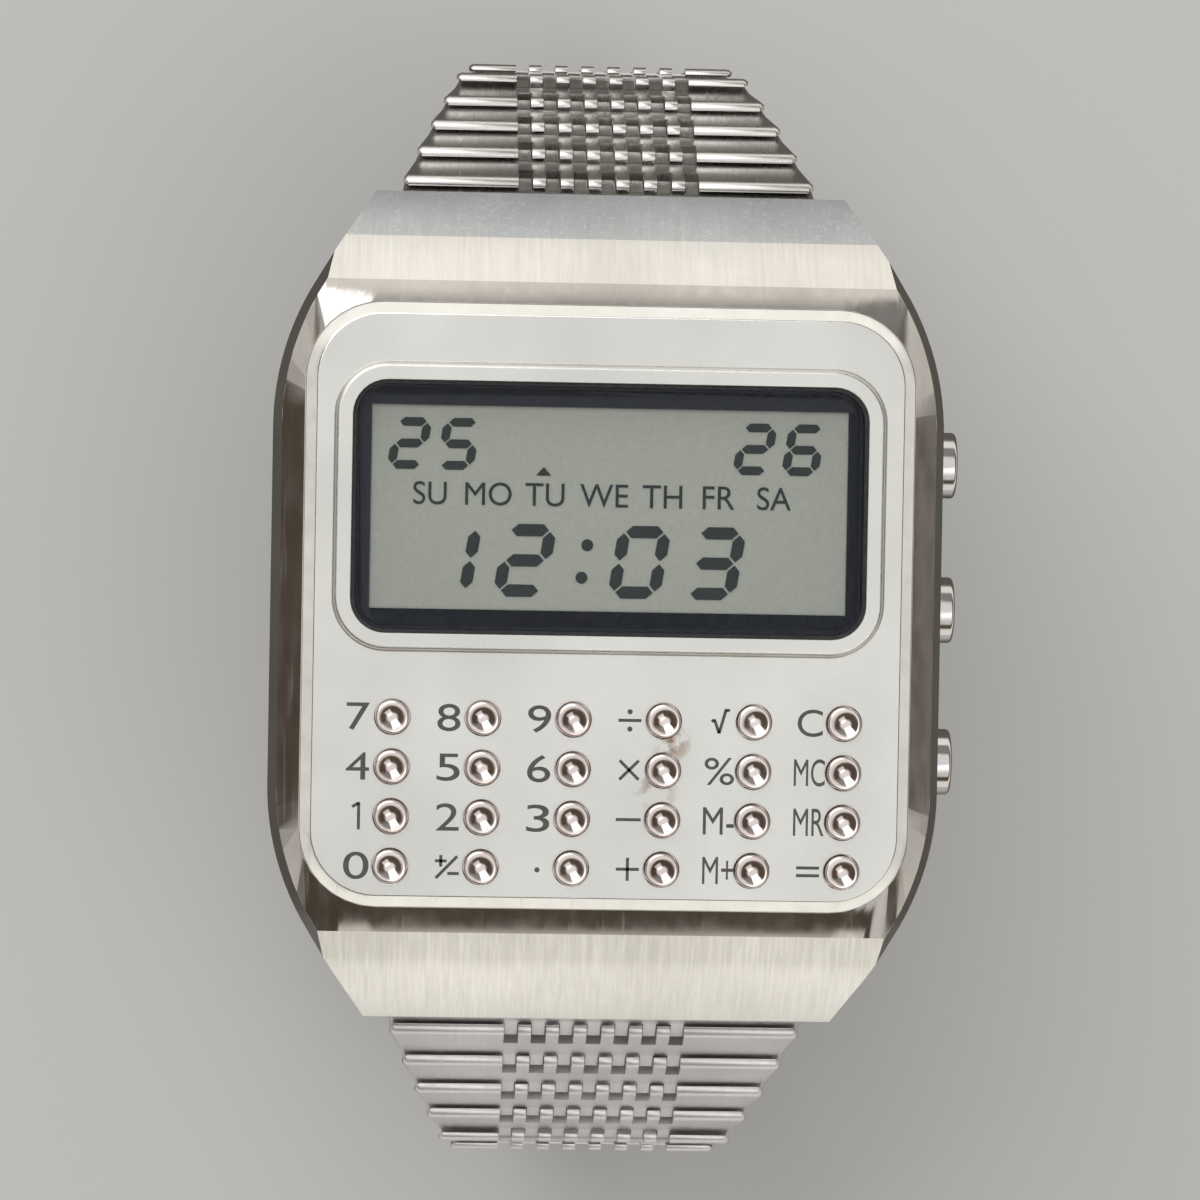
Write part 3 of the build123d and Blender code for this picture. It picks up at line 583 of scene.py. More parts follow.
def case_plan(inset=0):
    """The case's plan, with its sides drawn in by an inset."""
    turn = degrees(asin((shoulder_y - flank_y) / flank_radius))
    quarter = arc((flank_centre_x, flank_y), flank_radius - inset, 0, turn, 12)
    fall = case_half_length - shoulder_y
    draw_in = inset * hypot(shoulder_x - case_corner_x, fall) / fall
    return all_round(quarter + [(case_corner_x - draw_in, case_half_length)])


crown_radius = flank_radius - wall_lean
turn = degrees(asin((slope_top[0] - flank_y) / crown_radius))
crown_side = arc((flank_centre_x, flank_y), crown_radius, 0, turn, 7)
corner_x = crown_side[-1][0]
inward = (corner_x - crown_corner[0]) / 5
crown_foot = all_round(
    crown_side + [(corner_x - inward * step, slope_top[0]) for step in range(1, 6)])
straight = [(crown_corner[0] + crown_corner_radius, flank_y + step * 0.8) for step in range(3)]
top_quarter = straight + arc(crown_corner, crown_corner_radius, 0, 90, 9)
crown_top = [(x, y + plate_y) for x, y in all_round(top_quarter)]

# %% Case block and slopes
fall = (slope_crease[1] - slope_low[1]) / (slope_low[0] - slope_crease[0])
beyond = slope_low[0] + 1
above = slope_top[1] + 2
slope_profile = ((slope_top[0], above), slope_top, slope_crease, (beyond, slope_low[1] - fall),
                 (beyond, above))
case = tower("case", [(case_low_z, case_plan()), (wall_low_z, case_plan()),
                      (wall_high_z, case_plan(wall_lean))])
bevel_where(case, 0.35, 1, lambda x, y, z: z < case_low_z + 0.01)
for profile, half in ((slope_profile, slope_half_width), (pocket_profile, pocket_half_width)):
    for side in (1, -1):
        cut(case, side_block("end tool", [(side * y, z) for y, z in profile], -half, half))
melt(case, tower("crown", [(wall_high_z, crown_foot), (crown_z, crown_top)]))
cut(case, flat_block("plate seat", rounded_plan(*seat_size, plate_y), seat_z, above_case))
cut(case, flat_block("cavity", rounded_plan(*cavity_size), 0, 10))
for y in pusher_ys.values():
    cut(case, rod("pusher bore", 1.85, 16.25, 19, y, pusher_z, 40))
    cut(case, rod("stem bore", 0.75, 13.5, 17, y, pusher_z, 24))
round_edges(case, 0.07, 2, 20)
dress(case, "case", polished_steel, "case_steel", "case_body")
case.data.materials.append(slope_steel)
case.data.materials.append(scuffed_and_painted_reflection_steel)
for face in case.data.polygons:
    along = face.center.y / mm
    leans_to_end = abs(face.normal.y) > 0.5 and abs(face.normal.x) < 0.1
    # The outer top facets get the scratched steel with its painted reflection; the rest of the end
    # faces get the brushed steel.
    if abs(along) > slope_top[0] and leans_to_end:
        on_outer_top = along > slope_crease[0] + 0.02 and face.normal.z > 0.3
        face.material_index = 2 if on_outer_top else 1
print("case faces:", len(case.data.polygons))

# %% [markdown]
# ## The plate
# The plate is pressed with a polished sloping edge and a raised rim round the window. It is a block
# whose top outline is drawn in a little. The 24 holes are cut out in one go.

# %% The plate and its holes
plate_size = (31.7, 31.4, 4.0)
rim_size = (28.65, 15.0, 2.8)
window_size = (26.75, 13.1, 1.8)
edge_run = 0.62
edge_low_z = 8.92
rim_z = plate_z + 0.35
key_hole_radius = 0.93
key_first = (-11.1, -5.7)
key_pitch = (4.695, -2.58)
key_rows = (
    "seven eight nine divide root clear",
    "four five six multiply percent memory_clear",
    "one two three minus memory_minus memory_recall",
    "zero sign point plus memory_plus equals",
)
key_places = {name: (key_first[0] + column * key_pitch[0], key_first[1] + row * key_pitch[1])
              for row, names in enumerate(key_rows) for column, name in enumerate(names.split())}

plate_plan = rounded_plan(*plate_size, plate_y, 12)
plate_width, plate_length, plate_corner = plate_size
plate_top = rounded_plan(plate_width - 2 * edge_run, plate_length - 2 * edge_run,
                         plate_corner - edge_run, plate_y, 12)
plate = tower("face_plate_piece", [(seat_z, plate_plan), (edge_low_z, plate_plan),
                                   (plate_z, plate_top)])
rim = flat_block("rim", rounded_plan(*rim_size, window_y, 12), seat_z + 0.2, rim_z)
bevel_where(rim, 0.3, 5, lambda x, y, z: z > rim_z - 0.01)
melt(plate, rim)
cut(plate, flat_block("window", rounded_plan(*window_size, window_y), 8, above_case))
holes = [flat_block("key hole", ring(place, key_hole_radius, 32), plate_z - 1, plate_z + 1)
         for place in key_places.values()]
cut(plate, join(*holes))
round_edges(plate, 0.06, 3, 25)
dress(plate, "case", plate_steel, "face_plate_steel", "face_plate")
plate.data.materials.append(edge_steel)
edge_band = (14.6, 14.4, 3.35)
for face in plate.data.polygons:
    x, y = abs(face.center.x / mm), abs(face.center.y / mm - plate_y)
    from_corner = hypot(max(x - plate_width / 2 + plate_corner, 0),
                        max(y - plate_length / 2 + plate_corner, 0))
    near_edge = any(gap > limit for gap, limit in zip((x, y, from_corner), edge_band))
    if near_edge and face.normal.z < 0.97:
        face.material_index = 1
print("plate faces:", len(plate.data.polygons))

# %% [markdown]
# ## Window and display
# The glass stands a little above its rim. Under it lie a printed border and the display. The
# figures are built from one slanted bar with pointed ends, the way such a display is made. The
# pieces inside the case stay as they were measured, and only get a finish.

# %% Glass and the pieces inside
glass_size = (26.35, 12.7, 1.6)
glass_z = 9.7
glass = flat_block("window_piece", rounded_plan(*glass_size, window_y), seat_z, glass_z)
round_edges(glass, 0.12, 3)
dress(glass, "case", window_glass, "mineral_glass", "crystal")
inside = {
    border_ink: ("display_mask",),
    display_film: ("lcd_panel",),
    rubber: ("crystal_gasket", "back_gasket", "connector_strips", "key_contact_sheet"),
    module_plastic: ("module_frame", "processor_chip"),
    bright_steel: ("quartz_can", "button_cells", "cell_clip"),
    board_lacquer: ("circuit_board",),
}
for finish, nodes in inside.items():
    for node in nodes:
        coat(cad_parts[node], finish)

# %% Seven-bar figures
figure_z = 8.32
figure_slant = 0.16
bar_ends = {"a": (0, 1), "b": (1, 3), "c": (3, 5), "d": (4, 5), "e": (4, 2), "f": (2, 0),
            "g": (2, 3)}
bars_on = {"0": "abcdef", "1": "bc", "2": "abged", "3": "abgcd", "5": "afgcd", "6": "afgedc"}


def bar(start, end, thickness, pointed=True):
    """A flat bar with pointed or square ends."""
    first, last = Vector(start), Vector(end)
    tip = (last - first).normalized() * thickness / 2
    side = Vector((-tip.y, tip.x))
    if not pointed:
        corners = [first + side, first - side, last - side, last + side]
    else:
        corners = [first + tip + side, first, first + tip - side, last - tip - side, last,
                   last - tip + side]
    return [tuple(corner) for corner in corners]


def figure_bars(figure, centre, width, height, thickness):
    """The bars of one figure, slanted to the right."""
    gap = thickness * 0.12
    w, h = width / 2 - thickness / 2, height / 2 - thickness / 2
    places = [Vector((x, y)) for y in (h, 0, -h) for x in (-w, w)]
    flats = []
    for name in bars_on[figure]:
        start, end = [places[index] for index in bar_ends[name]]
        step = (end - start).normalized() * gap
        corners = bar(start + step, end - step, thickness)
        flats.append([(centre[0] + x + figure_slant * y, centre[1] + y) for x, y in corners])
    return flats


def thin_sheet(name, flats, low, thickness):
    """One object made of thin flat outlines."""
    return join(*[flat_block(name, flat, low, low + thickness) for flat in flats])


figure_rows = (
    (2.5, (2.75, 3.8, 0.64), (("1", -8.25), ("2", -4.35), ("0", 1.62), ("3", 5.55))),
    (8.5, (1.95, 2.7, 0.46), (("2", -10.45), ("5", -7.9), ("2", 7.55), ("6", 10.1))),
)
colon_x = -1.65
day_marker = [(-3.85, 6.93), (-3.05, 6.93), (-3.45, 7.38)]
flats = []
for row_y, sizes, row in figure_rows:
    for figure, x in row:
        flats += figure_bars(figure, (x, row_y), *sizes)
for y in (1.65, 3.35):
    flats.append(ring((colon_x + figure_slant * y, y), 0.32, 10))
flats.append(day_marker)
figures = thin_sheet("display_figures", flats, figure_z, 0.02)
dress(figures, "case", display_ink, "display_glass")

# %% [markdown]
# ## Lettering
# Only plain figures, signs and the names of the weekdays are drawn. A text object becomes a
# mesh first, and then its place goes into the mesh.

# %% Letters
def lettering(words, x, y, z, height, squeeze=1):
    """Flat letters centred on a place."""
    deselect()
    bpy.ops.object.text_add()
    text = bpy.context.object
    text.data.body = words
    text.data.align_x = "CENTER"
    text.data.align_y = "CENTER"
    text.data.extrude = 0.004
    bpy.ops.object.convert(target="MESH")
    letters = bpy.context.object
    xs, ys = zip(*[vertex.co.xy for vertex in letters.data.vertices])
    middle = Vector((min(xs) + max(xs), min(ys) + max(ys), 0)) / 2
    scale = height / (max(ys) - min(ys))
    place = shift(x, y, z) @ Matrix.Diagonal((scale * squeeze * mm, scale * mm, mm, 1))
    move_to(letters, place @ Matrix.Translation(-middle))
    return letters


weekdays = {"SU": -9.35, "MO": -6.31, "TU": -3.37, "WE": -0.28, "TH": 2.76, "FR": 5.7, "SA": 8.6}
weekday_y = 5.93
weekday_height = 1.2
weekday_squeeze = 0.95
week = join(*[lettering(name, x, weekday_y, figure_z + 0.01, weekday_height, weekday_squeeze)
              for name, x in weekdays.items()])
week.name = "weekday_names"
dress(week, "case", display_ink, "display_glass")

# %% [markdown]
# The signs are drawn from bars, so that they are as even as printed ones, whatever the font holds.

# %% Key labels
label_offset = -1.76
label_widths = {"0": 1.32, "C": 1.32, "%": 1.55, "MC": 1.62, "MR": 1.6, "M-": 1.62, "M+": 1.6}
usual_width = 1.2
label_height = 1.42
sign_line = 0.16
sign_dot = 0.14
written = dict(zip(
    "seven eight nine clear four five six percent memory_clear two three memory_minus "
    "memory_recall zero memory_plus".split(), "7 8 9 C 4 5 6 % MC 2 3 M- MR 0 M+".split()))
drawn = {
    "divide": [((-0.6, 0), (0.6, 0))],
    "multiply": [((-0.5, -0.5), (0.5, 0.5)), ((-0.5, 0.5), (0.5, -0.5))],
    "minus": [((-0.65, 0), (0.65, 0))],
    "one": [((0.1, -0.71), (0.1, 0.71)), ((-0.24, 0.46), (0.1, 0.66))],
    "plus": [((-0.6, 0), (0.6, 0)), ((0, -0.6), (0, 0.6))],
    "equals": [((-0.6, 0.2), (0.6, 0.2)), ((-0.6, -0.2), (0.6, -0.2))],
    "root": [((-0.45, 0.0), (-0.3, 0.1)), ((-0.3, 0.12), (-0.05, -0.6)),
             ((-0.05, -0.6), (0.3, 0.65)), ((0.28, 0.6), (0.5, 0.6))],
    "sign": [((-0.6, 0.3), (0.0, 0.3)), ((-0.3, 0.0), (-0.3, 0.6)),
             ((-0.55, -0.6), (0.55, 0.55)), ((0.05, -0.35), (0.65, -0.35))],
}
dots = {"divide": ((0, 0.45), (0, -0.45)), "point": ((0, -0.1),)}
label_parts = []
for name, (x, y) in key_places.items():
    centre = x + label_offset
    if name in written:
        words = written[name]
        letters = lettering(words, centre, y, plate_z + 0.006, label_height)
        widen = label_widths.get(words, usual_width) / letters.dimensions.x * mm
        move_to(letters, shift(centre) @ Matrix.Diagonal((widen, 1, 1, 1)) @ shift(-centre))
        label_parts.append(letters)
    flats = []
    for start, end in drawn.get(name, ()):
        corners = bar(start, end, sign_line, False)
        flats.append([(centre + bar_x, y + bar_y) for bar_x, bar_y in corners])
    for dot_x, dot_y in dots.get(name, ()):
        flats.append(ring((centre + dot_x, y + dot_y), sign_dot, 10))
    if flats:
        label_parts.append(thin_sheet("sign", flats, plate_z + 0.004, 0.006))
labels = join(*label_parts)
labels.name = "key_labels"
dress(labels, "case", label_ink, "face_plate_steel")
print("letters and signs:", len(label_parts))

# %% [markdown]
# ## The keys
# Each key is a turned button with a round rim and a shallow dish. One is made on the lathe and
# copied 24 times, and each copy rides on its own body, so that it can be pressed.

# %% Keys
key_top = 9.95
key_radius = 0.875
rim_rounding = 0.1
key_foot_z = 8.15
flange_z = 8.44
flange_radius = 1.02
dish_radius = 0.68
dish_depth = 0.26
dish = [(radius, key_top - dish_depth + dish_depth * (radius / dish_radius) ** 2)
        for radius in (0, 0.1, 0.2, 0.3, 0.4, 0.5, 0.6, dish_radius)]
rim_round = arc((key_radius - rim_rounding, key_top - 0.12), rim_rounding, 80, 0, 5)
section = dish + [(dish_radius + 0.03, key_top)] + rim_round + [
    (key_radius, flange_z), (flange_radius, flange_z),
    (flange_radius, key_foot_z), (0, key_foot_z)]
key_model = turned("key model", section, 36)
for name, (x, y) in key_places.items():
    button = copy_of(key_model, "key_" + name + "_piece")
    move_to(button, shift(x, y))
    dress(button, name + "_key", key_steel, "key_steel", "key_" + name)
bpy.data.objects.remove(key_model)

# %% [markdown]
# ## The side pushers
# The pushers are turned too, and laid on their side. Each has a flat cap with a fine ring, a
# stem that runs through the wall, and a clip that holds it in.

# %% Pushers
cap = [(0, 18.50), (1.05, 18.50), (1.1, 18.46), (1.2, 18.46), (1.25, 18.52), (1.45, 18.53)]
cap += arc((1.55, 18.33), 0.2, 90, 0, 6) + [(1.75, 17.05)]
stem = [(0.7, 17.05), (0.7, 14.45), (1.2, 14.45), (1.2, 14.15), (0.7, 14.15), (0.7, 13.75),
        (0, 13.75)]
pusher_model = turned("pusher model", cap + stem, 48)
for name, y in pusher_ys.items():
    pusher = copy_of(pusher_model, "pusher_" + name + "_piece")
    move_to(pusher, shift(0, y, pusher_z) @ Matrix.Rotation(pi / 2, 4, "Y"))
    dress(pusher, name + "_pusher", bright_steel, "polished_steel", "pusher_" + name)
bpy.data.objects.remove(pusher_model)

# %% [markdown]
# ## The leaf springs
# Behind each pusher stands a bowed strip of spring steel, with its feet on the module's side. A
# real leaf flattens as the pusher goes in.

# %% Leaf springs
leaf_foot_x = 12.55
leaf_crown_x = 13.70
leaf_thickness = 0.15
leaf_half = 0.5
inner_x = leaf_crown_x - leaf_thickness
leaf_bow = ((leaf_foot_x, -1.45), (leaf_crown_x, -0.5), (leaf_crown_x, 0.5), (leaf_foot_x, 1.45),
            (leaf_foot_x, 1.3), (inner_x, 0.5), (inner_x, -0.5), (leaf_foot_x, -1.3))
for name, y in pusher_ys.items():
    leaf = flat_block("pusher_spring_" + name + "_piece", [(x, y + along) for x, along in leaf_bow],
                      pusher_z - leaf_half, pusher_z + leaf_half)
    dress(leaf, "case", bright_steel, "polished_steel", "pusher_spring_" + name)
    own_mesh(leaf)

# %% [markdown]
# ## The back
# The back is a pressed-in lid with a bevelled edge and a notch for a case knife. It stays bare.

# %% Back cover
back_size = (31.2, 35.4, 4.0)
lip_size = (27.8, 28.0, 1.2)
lip_room_size = (25.8, 26.0, 1.0)
back = flat_block("back_cover_piece", rounded_plan(*back_size), 0, case_low_z)
bevel_where(back, 0.3, 2, lambda x, y, z: z < 0.01)
lip = flat_block("lip", rounded_plan(*lip_size), 0.5, 1.8)
cut(lip, flat_block("lip room", rounded_plan(*lip_room_size), case_low_z, 3))
melt(back, lip)
cut(back, flat_block("notch", oblong(-16.1, -15.1, -2, 2), 0.6, 1.4))
round_edges(back, 0.05, 2)
dress(back, "case", back_steel, "case_steel", "back_cover")

# %% [markdown]
# ## One link
# A link is a folded plate. Its front edge is a raised round nose, from which its top falls to a low
# tail. In the middle, six fingers carry the nose forward, and seven low tabs reach back between
# the fingers of the next link. The middle tab folds round the next link's crossbar.

# %% Link sizes
pitch = 3.2
link_top = 1.1
link_bottom = -0.7
crest_y = -0.12
nose_reach = 0.48
nose_low = 0.72
nose_rise = 0.38
tail_top = 0.6
tail_y = 2.5
finger_root = 1.15
tab_root = 2.6
tab_reach = 0.6
tab_fold = 0.2
lattice_half = 4.875
columns = 13
column_gap = 0.06
bar_half = 0.25
fold_room = bar_half * sqrt(2) + 0.04
model_half = 8.0
side_bevel = 0.28


def falling_top(along):
    """The height of a link's falling top."""
    return link_top - (link_top - tail_top) * (along - crest_y) / (tail_y - crest_y)


def nose(inner):
    """A link's raised front, from its underside to its crest."""
    rounding = [(crest_y + nose_reach * x, nose_low + nose_rise * z)
                for x, z in arc((0, 0), 1, 180, 90, 6)]
    return inner + rounding + [(-0.07, falling_top(-0.07))]


def column_span(column):
    """Where one tooth starts and ends across the bracelet."""
    width = 2 * lattice_half / columns
    start = column * width - lattice_half
    return start + column_gap / 2, start + width - column_gap / 2


# %% Teeth of a link
def fingers():
    """The raised fingers. The outer two reach down to the crossbar."""
    pieces = []
    for column in range(1, columns, 2):
        if column in (1, columns - 2):
            foot = [(finger_root, -bar_half), (-bar_half, -bar_half),
                    (-bar_half, nose_low)]
        else:
            foot = [(finger_root, nose_low)]
        profile = nose(foot) + [(finger_root, falling_top(finger_root))]
        pieces.append(side_block("finger", profile, *column_span(column)))
    reach = column_span(columns - 2)[1] - 0.01
    square = oblong(-bar_half, bar_half, -bar_half, bar_half)
    return pieces + [side_block("crossbar", square, -reach, reach)]


def tabs():
    """The low tabs. The middle one folds round the next crossbar."""
    pieces = []
    for column in range(0, columns, 2):
        start, end = column_span(column)
        if column == columns // 2:
            outer = fold_room + tab_fold
            profile = oblong(tab_root, pitch + outer, -outer, tail_top)
            tab = side_block("tab", profile, start, end)
            room = oblong(pitch - fold_room, pitch + fold_room, -fold_room, fold_room)
            cut(tab, side_block("room", room, start - 1, end + 1))
        else:
            profile = oblong(tab_root, pitch + tab_reach, fold_room, tail_top)
            tab = side_block("tab", profile, start, end)
        pieces.append(tab)
    return pieces


def lattice_tool(start, end):
    """The part of a link's plate that the teeth replace."""
    return side_block("lattice tool", oblong(start, end, -3, 3), -lattice_half, lattice_half)


# %% [markdown]
# Three link models are made: the common one, the first one, which folds round the spring bar in the
# case, and the last one, whose barrel takes the clasp's bar. The sides of every copy are then
# moved to the width of the bracelet there.

# %% Link models
def cross_bore(radius, y):
    """A bore right across a link."""
    return rod("bore", radius, -model_half - 1, model_half + 1, y, 0, 24)


def link_model(kind):
    """One link with straight sides and its near hinge at the origin."""
    if kind == "first":
        front = arc((0, 0), 1.02, 300, 110, 14) + [(0.35, link_top)]
    else:
        front = nose([(0.75, link_bottom), (0.5, nose_low)])
    tail_end = pitch + (0 if kind == "last" else 0.25)
    tail = [(tail_y - 0.06, falling_top(tail_y - 0.06)), (tail_y, tail_top),
            (tail_end, tail_top), (pitch - 0.05, link_bottom)]
    model = side_block("link model", front + tail, -model_half, model_half)
    for side in (1, -1):
        bevel_where(model, side_bevel, 3,
                    lambda x, y, z: side * x > model_half - 0.01 and z > tail_top - 0.02)
    if kind != "first":
        cut(model, lattice_tool(-3, finger_root - 0.05))
        melt(model, *fingers())
    if kind == "last":
        melt(model, rod("barrel", 0.86, -model_half, model_half, pitch, 0, 24))
        cut(model, cross_bore(0.56, pitch))
    else:
        cut(model, lattice_tool(tab_root + 0.05, 6))
        melt(model, *tabs())
    if kind == "first":
        cut(model, cross_bore(0.72, 0))
    round_edges(model, 0.05, 2, 32)
    return model


def faces_for_painted_shade(model):
    """The faces behind the crest and between the teeth, which get a darker finish as painted shade.
    """
    shade_face_indices = []
    for face in model.data.polygons:
        centre = face.center / mm
        falling = -0.05 < centre.y < pitch - 0.4 and face.normal.z > 0.3
        between_teeth = centre.z < 0.5 and abs(centre.x) < lattice_half
        if falling or between_teeth:
            shade_face_indices.append(face.index)
    return shade_face_indices


models = {kind: link_model(kind) for kind in ("first", "common", "last")}
painted_shade_faces = {kind: faces_for_painted_shade(model) for kind, model in models.items()}
print("link faces:", {kind: len(model.data.polygons) for kind, model in models.items()})

# %% Widths and places of the links
link_groups = "1112223334444"
link_count = len(link_groups)
near_links = 5
end_tilt = -78.0
first_width = 22.7
second_width = 22.1
last_width = 14.5
width_step = 1.39963
knuckle_half = 3.6
lug_bar_y = 20.35
lug_bar_z = 2.5
lug_bar_half = 11.35
hinge_widths = [first_width] + [max(second_width - width_step * number, last_width)
                                for number in range(link_count)]


def fit_sides(link, near, far):
    """Move the sides of a link to its own width."""
    for vertex in link.data.vertices:
        x, along = vertex.co.x / mm, max(vertex.co.y / mm, 0)
        if abs(x) > 6:
            side = 1 if x > 0 else -1
            wide = near + (far - near) * along / pitch
            vertex.co.x += side * (wide - model_half) * mm


def lay_strand(name, turn, start_tilt, tilt_step, open_end, finish, painted_shade_finish):
    """Copy, fit and place the links of one strand, from the case to the clasp."""
    far_links = link_count - near_links
    tilts = [start_tilt - number * tilt_step for number in range(near_links)]
    far_step = (tilts[-1] - end_tilt) / far_links
    tilts += [tilts[-1] - (number + 1) * far_step for number in range(far_links)]
    y, z = lug_bar_y, lug_bar_z
    for number, (group, tilt) in enumerate(zip(link_groups, tilts)):
        kind = "first" if number == 0 else "last" if number == link_count - 1 else "common"
        link = copy_of(models[kind], name + "_link_" + str(number + 1))
        if open_end and kind == "last":
            gap = oblong(pitch - 1.42, pitch + 1.42, -3, 3)
            cut(link, side_block("knuckle gap", gap, -knuckle_half, knuckle_half))
        fit_sides(link, hinge_widths[number] / 2, hinge_widths[number + 1] / 2)
        place = Matrix.Rotation(turn, 4, "Z") @ shift(0, y, z)
        move_to(link, place @ Matrix.Rotation(radians(tilt - 90), 4, "X"))
        dress(link, name + "_" + group, finish, "bracelet_steel", name + "_links_" + group)
        # Painted shade: the faces behind the crest and between the teeth get the darker second
        # finish.
        link.data.materials.append(painted_shade_finish)
        for index in painted_shade_faces[kind]:
            link.data.polygons[index].material_index = 1
        y += pitch * sin(radians(tilt))
        z -= pitch * cos(radians(tilt))
    return y, z


upper_end = lay_strand("upper", 0, 36.0, 2.0, True, link_steel, painted_shade_link_steel)
# Painted light: the lower strand gets the lighter, rougher finishes.
lower_end = lay_strand("lower", pi, 41.0, 2.75, False, soft_painted_light_link_steel, soft_painted_shade_link_steel)
for model in models.values():
    bpy.data.objects.remove(model)
bars = [rod("lug_bar", 0.65, -lug_bar_half, lug_bar_half, side * lug_bar_y, lug_bar_z, 24)
        for side in (1, -1)]
lug_bars = join(*bars)
lug_bars.name = "lug_bar_pieces"
round_edges(lug_bars, 0.1, 2)
dress(lug_bars, "case", bright_steel, "polished_steel", "lug_spring_bars")
print("strand ends:", upper_end, lower_end)

# %% [markdown]
# ## The clasp
# The clasp folds in three. A cover with side walls takes both blades when it is shut, and is all
# that shows from outside. It is modelled flat and then laid between the ends of the two strands.

# %% Clasp place
clasp_run = upper_end[0] + lower_end[0]
clasp_rise = upper_end[1] - lower_end[1]
clasp_length = hypot(clasp_run, clasp_rise)
clasp_place = (shift(0, -lower_end[0], lower_end[1])
               @ Matrix.Rotation(atan2(clasp_rise, clasp_run), 4, "X"))
cover_hinge = (clasp_length - 4.6, -0.85)
blade_hinge = (2.7, -0.25)
end_hinge = (clasp_length, 0)
barrel_radius = 0.7
end_barrel_radius = 0.8
knuckle_room = 1.14
neck_half = 3.4


def strip(name, start, end, low, high, half):
    """A flat strip of the clasp."""
    return side_block(name, oblong(start, end, low, high), -half, half)


def clasp_rod(name, radius, half, hinge=(0, 0)):
    """A rod across the clasp."""
    return rod(name, radius, -half, half, *hinge)


def lay_in_clasp(piece, name, fold, node, finish=clasp_steel, slot_name="bracelet_steel"):
    """Lay a flat clasp piece between the strands and finish it."""
    piece.name = "clasp_" + name + "_piece"
    move_to(piece, clasp_place)
    dress(piece, "clasp_" + fold + "_fold", finish, slot_name, "clasp_" + node)


# %% Cover
cover_low = -2.5
cover_half = 8.25
cover_room_half = 7.45
cover_rod_half = 7.44
cover_end = cover_hinge[0] + 0.6
cover = strip("cover shell", -1.5, cover_end, cover_low, 0.5, cover_half)
cut(cover, strip("cover room", -3, cover_end + 2, cover_low + 0.8, 2, cover_room_half))
bevel_where(cover, 0.35, 3, lambda x, y, z: z < cover_low + 0.01 and abs(x) > cover_half - 0.05)
bevel_where(cover, 0.2, 3, lambda x, y, z: z < cover_low + 0.01)
round_edges(cover, 0.06, 2)
cover = join(cover, clasp_rod("cover bar", 0.5, cover_rod_half),
             clasp_rod("cover pin", 0.4, cover_rod_half, cover_hinge))
lay_in_clasp(cover, "cover", "cover", "cover")

# %% Blades
middle_half = 6.0
middle = strip("middle blade", blade_hinge[0], cover_hinge[0], -1.2, -0.5, middle_half)
melt(middle, *[clasp_rod("barrel", barrel_radius, middle_half, hinge)
               for hinge in (cover_hinge, blade_hinge)])
cut(middle, strip("knuckle gap", blade_hinge[0] - knuckle_room,
                  blade_hinge[0] + knuckle_room, -3, 3, knuckle_half))
centre = (blade_hinge[0] + cover_hinge[0]) / 2
cut(middle, strip("slot", centre - 4.5, centre + 4.5, -3, 3, 1.6))
cut(middle, clasp_rod("bore", 0.44, middle_half + 1, cover_hinge),
    clasp_rod("bore", 0.4, middle_half + 1, blade_hinge))
round_edges(middle, 0.06, 2)
middle = join(middle, clasp_rod("blade pin", 0.398, middle_half - 0.02, blade_hinge))
lay_in_clasp(middle, "middle", "middle", "middle_blade")

inner = strip("inner blade", blade_hinge[0] + knuckle_room, clasp_length - 1.33, 0, 0.7, 5.0)
melt(inner, strip("neck", blade_hinge[0], clasp_length, 0, 0.7, neck_half))
melt(inner, clasp_rod("barrel", barrel_radius, neck_half, blade_hinge),
     clasp_rod("barrel", end_barrel_radius, neck_half, end_hinge))
cut(inner, clasp_rod("bore", 0.44, 5, blade_hinge), clasp_rod("bore", 0.5, 5, end_hinge))
round_edges(inner, 0.06, 2)
lay_in_clasp(inner, "inner", "inner", "inner_blade")
end_bar = clasp_rod("clasp end bar", 0.498, neck_half - 0.02, end_hinge)
round_edges(end_bar, 0.08, 2)
lay_in_clasp(end_bar, "end_bar", "inner", "end_bar", bright_steel, "polished_steel")

# %% [markdown]
# ## Floor, light and camera
# The watch stands on its clasp on a floor that the camera sees plain and pale, and the camera looks
# down on its face. For light and reflections the floor is painted: bright from 5 cm out on the -Y
# side as painted light, and dark elsewhere as painted shade. The lamps are large and soft. Metal
# shows what is round it, so the world has bands: it is bright overhead, darker halfway down, and
# bright again near the floor. This separates the slopes and bevels from the plate.

# %% Floor
floor_size = 0.5
floor_far_painted_shade = (0.15, 0.145, 0.13)
floor_near_painted_light = (0.80, 0.80, 0.81)
floor_camera_tone = (0.68, 0.68, 0.67)
deselect()
bpy.ops.mesh.primitive_plane_add(size=floor_size, location=(0, 0, cad_box[0][2]))
bpy.ops.object.transform_apply(location=True)
floor = bpy.context.object
floor.name = "floor"
floor_paint, tree, shader = new_finish("pale floor with painted light", (0.6, 0.6, 0.6), 0, 0.9)
# Painted light and shade: for light and reflections the floor is bright from 5 cm out on the -Y
# side and dark everywhere else, under the watch too.
axes = add_node(tree, "SeparateXYZ", {0: coordinates(tree)}).outputs
reach = calculate(tree, "MULTIPLY_ADD", calculate(tree, "ABSOLUTE", axes["X"]), 0.7, axes["Y"])
near = spread(tree, reach, whole, (0, -0.05))
floor_painted_light_and_shade = blend(tree, near, floor_far_painted_shade, floor_near_painted_light)
feed(tree, camera_sees(tree, floor_camera_tone, floor_painted_light_and_shade), shader.inputs["Base Color"])
floor.data.materials.append(floor_paint)

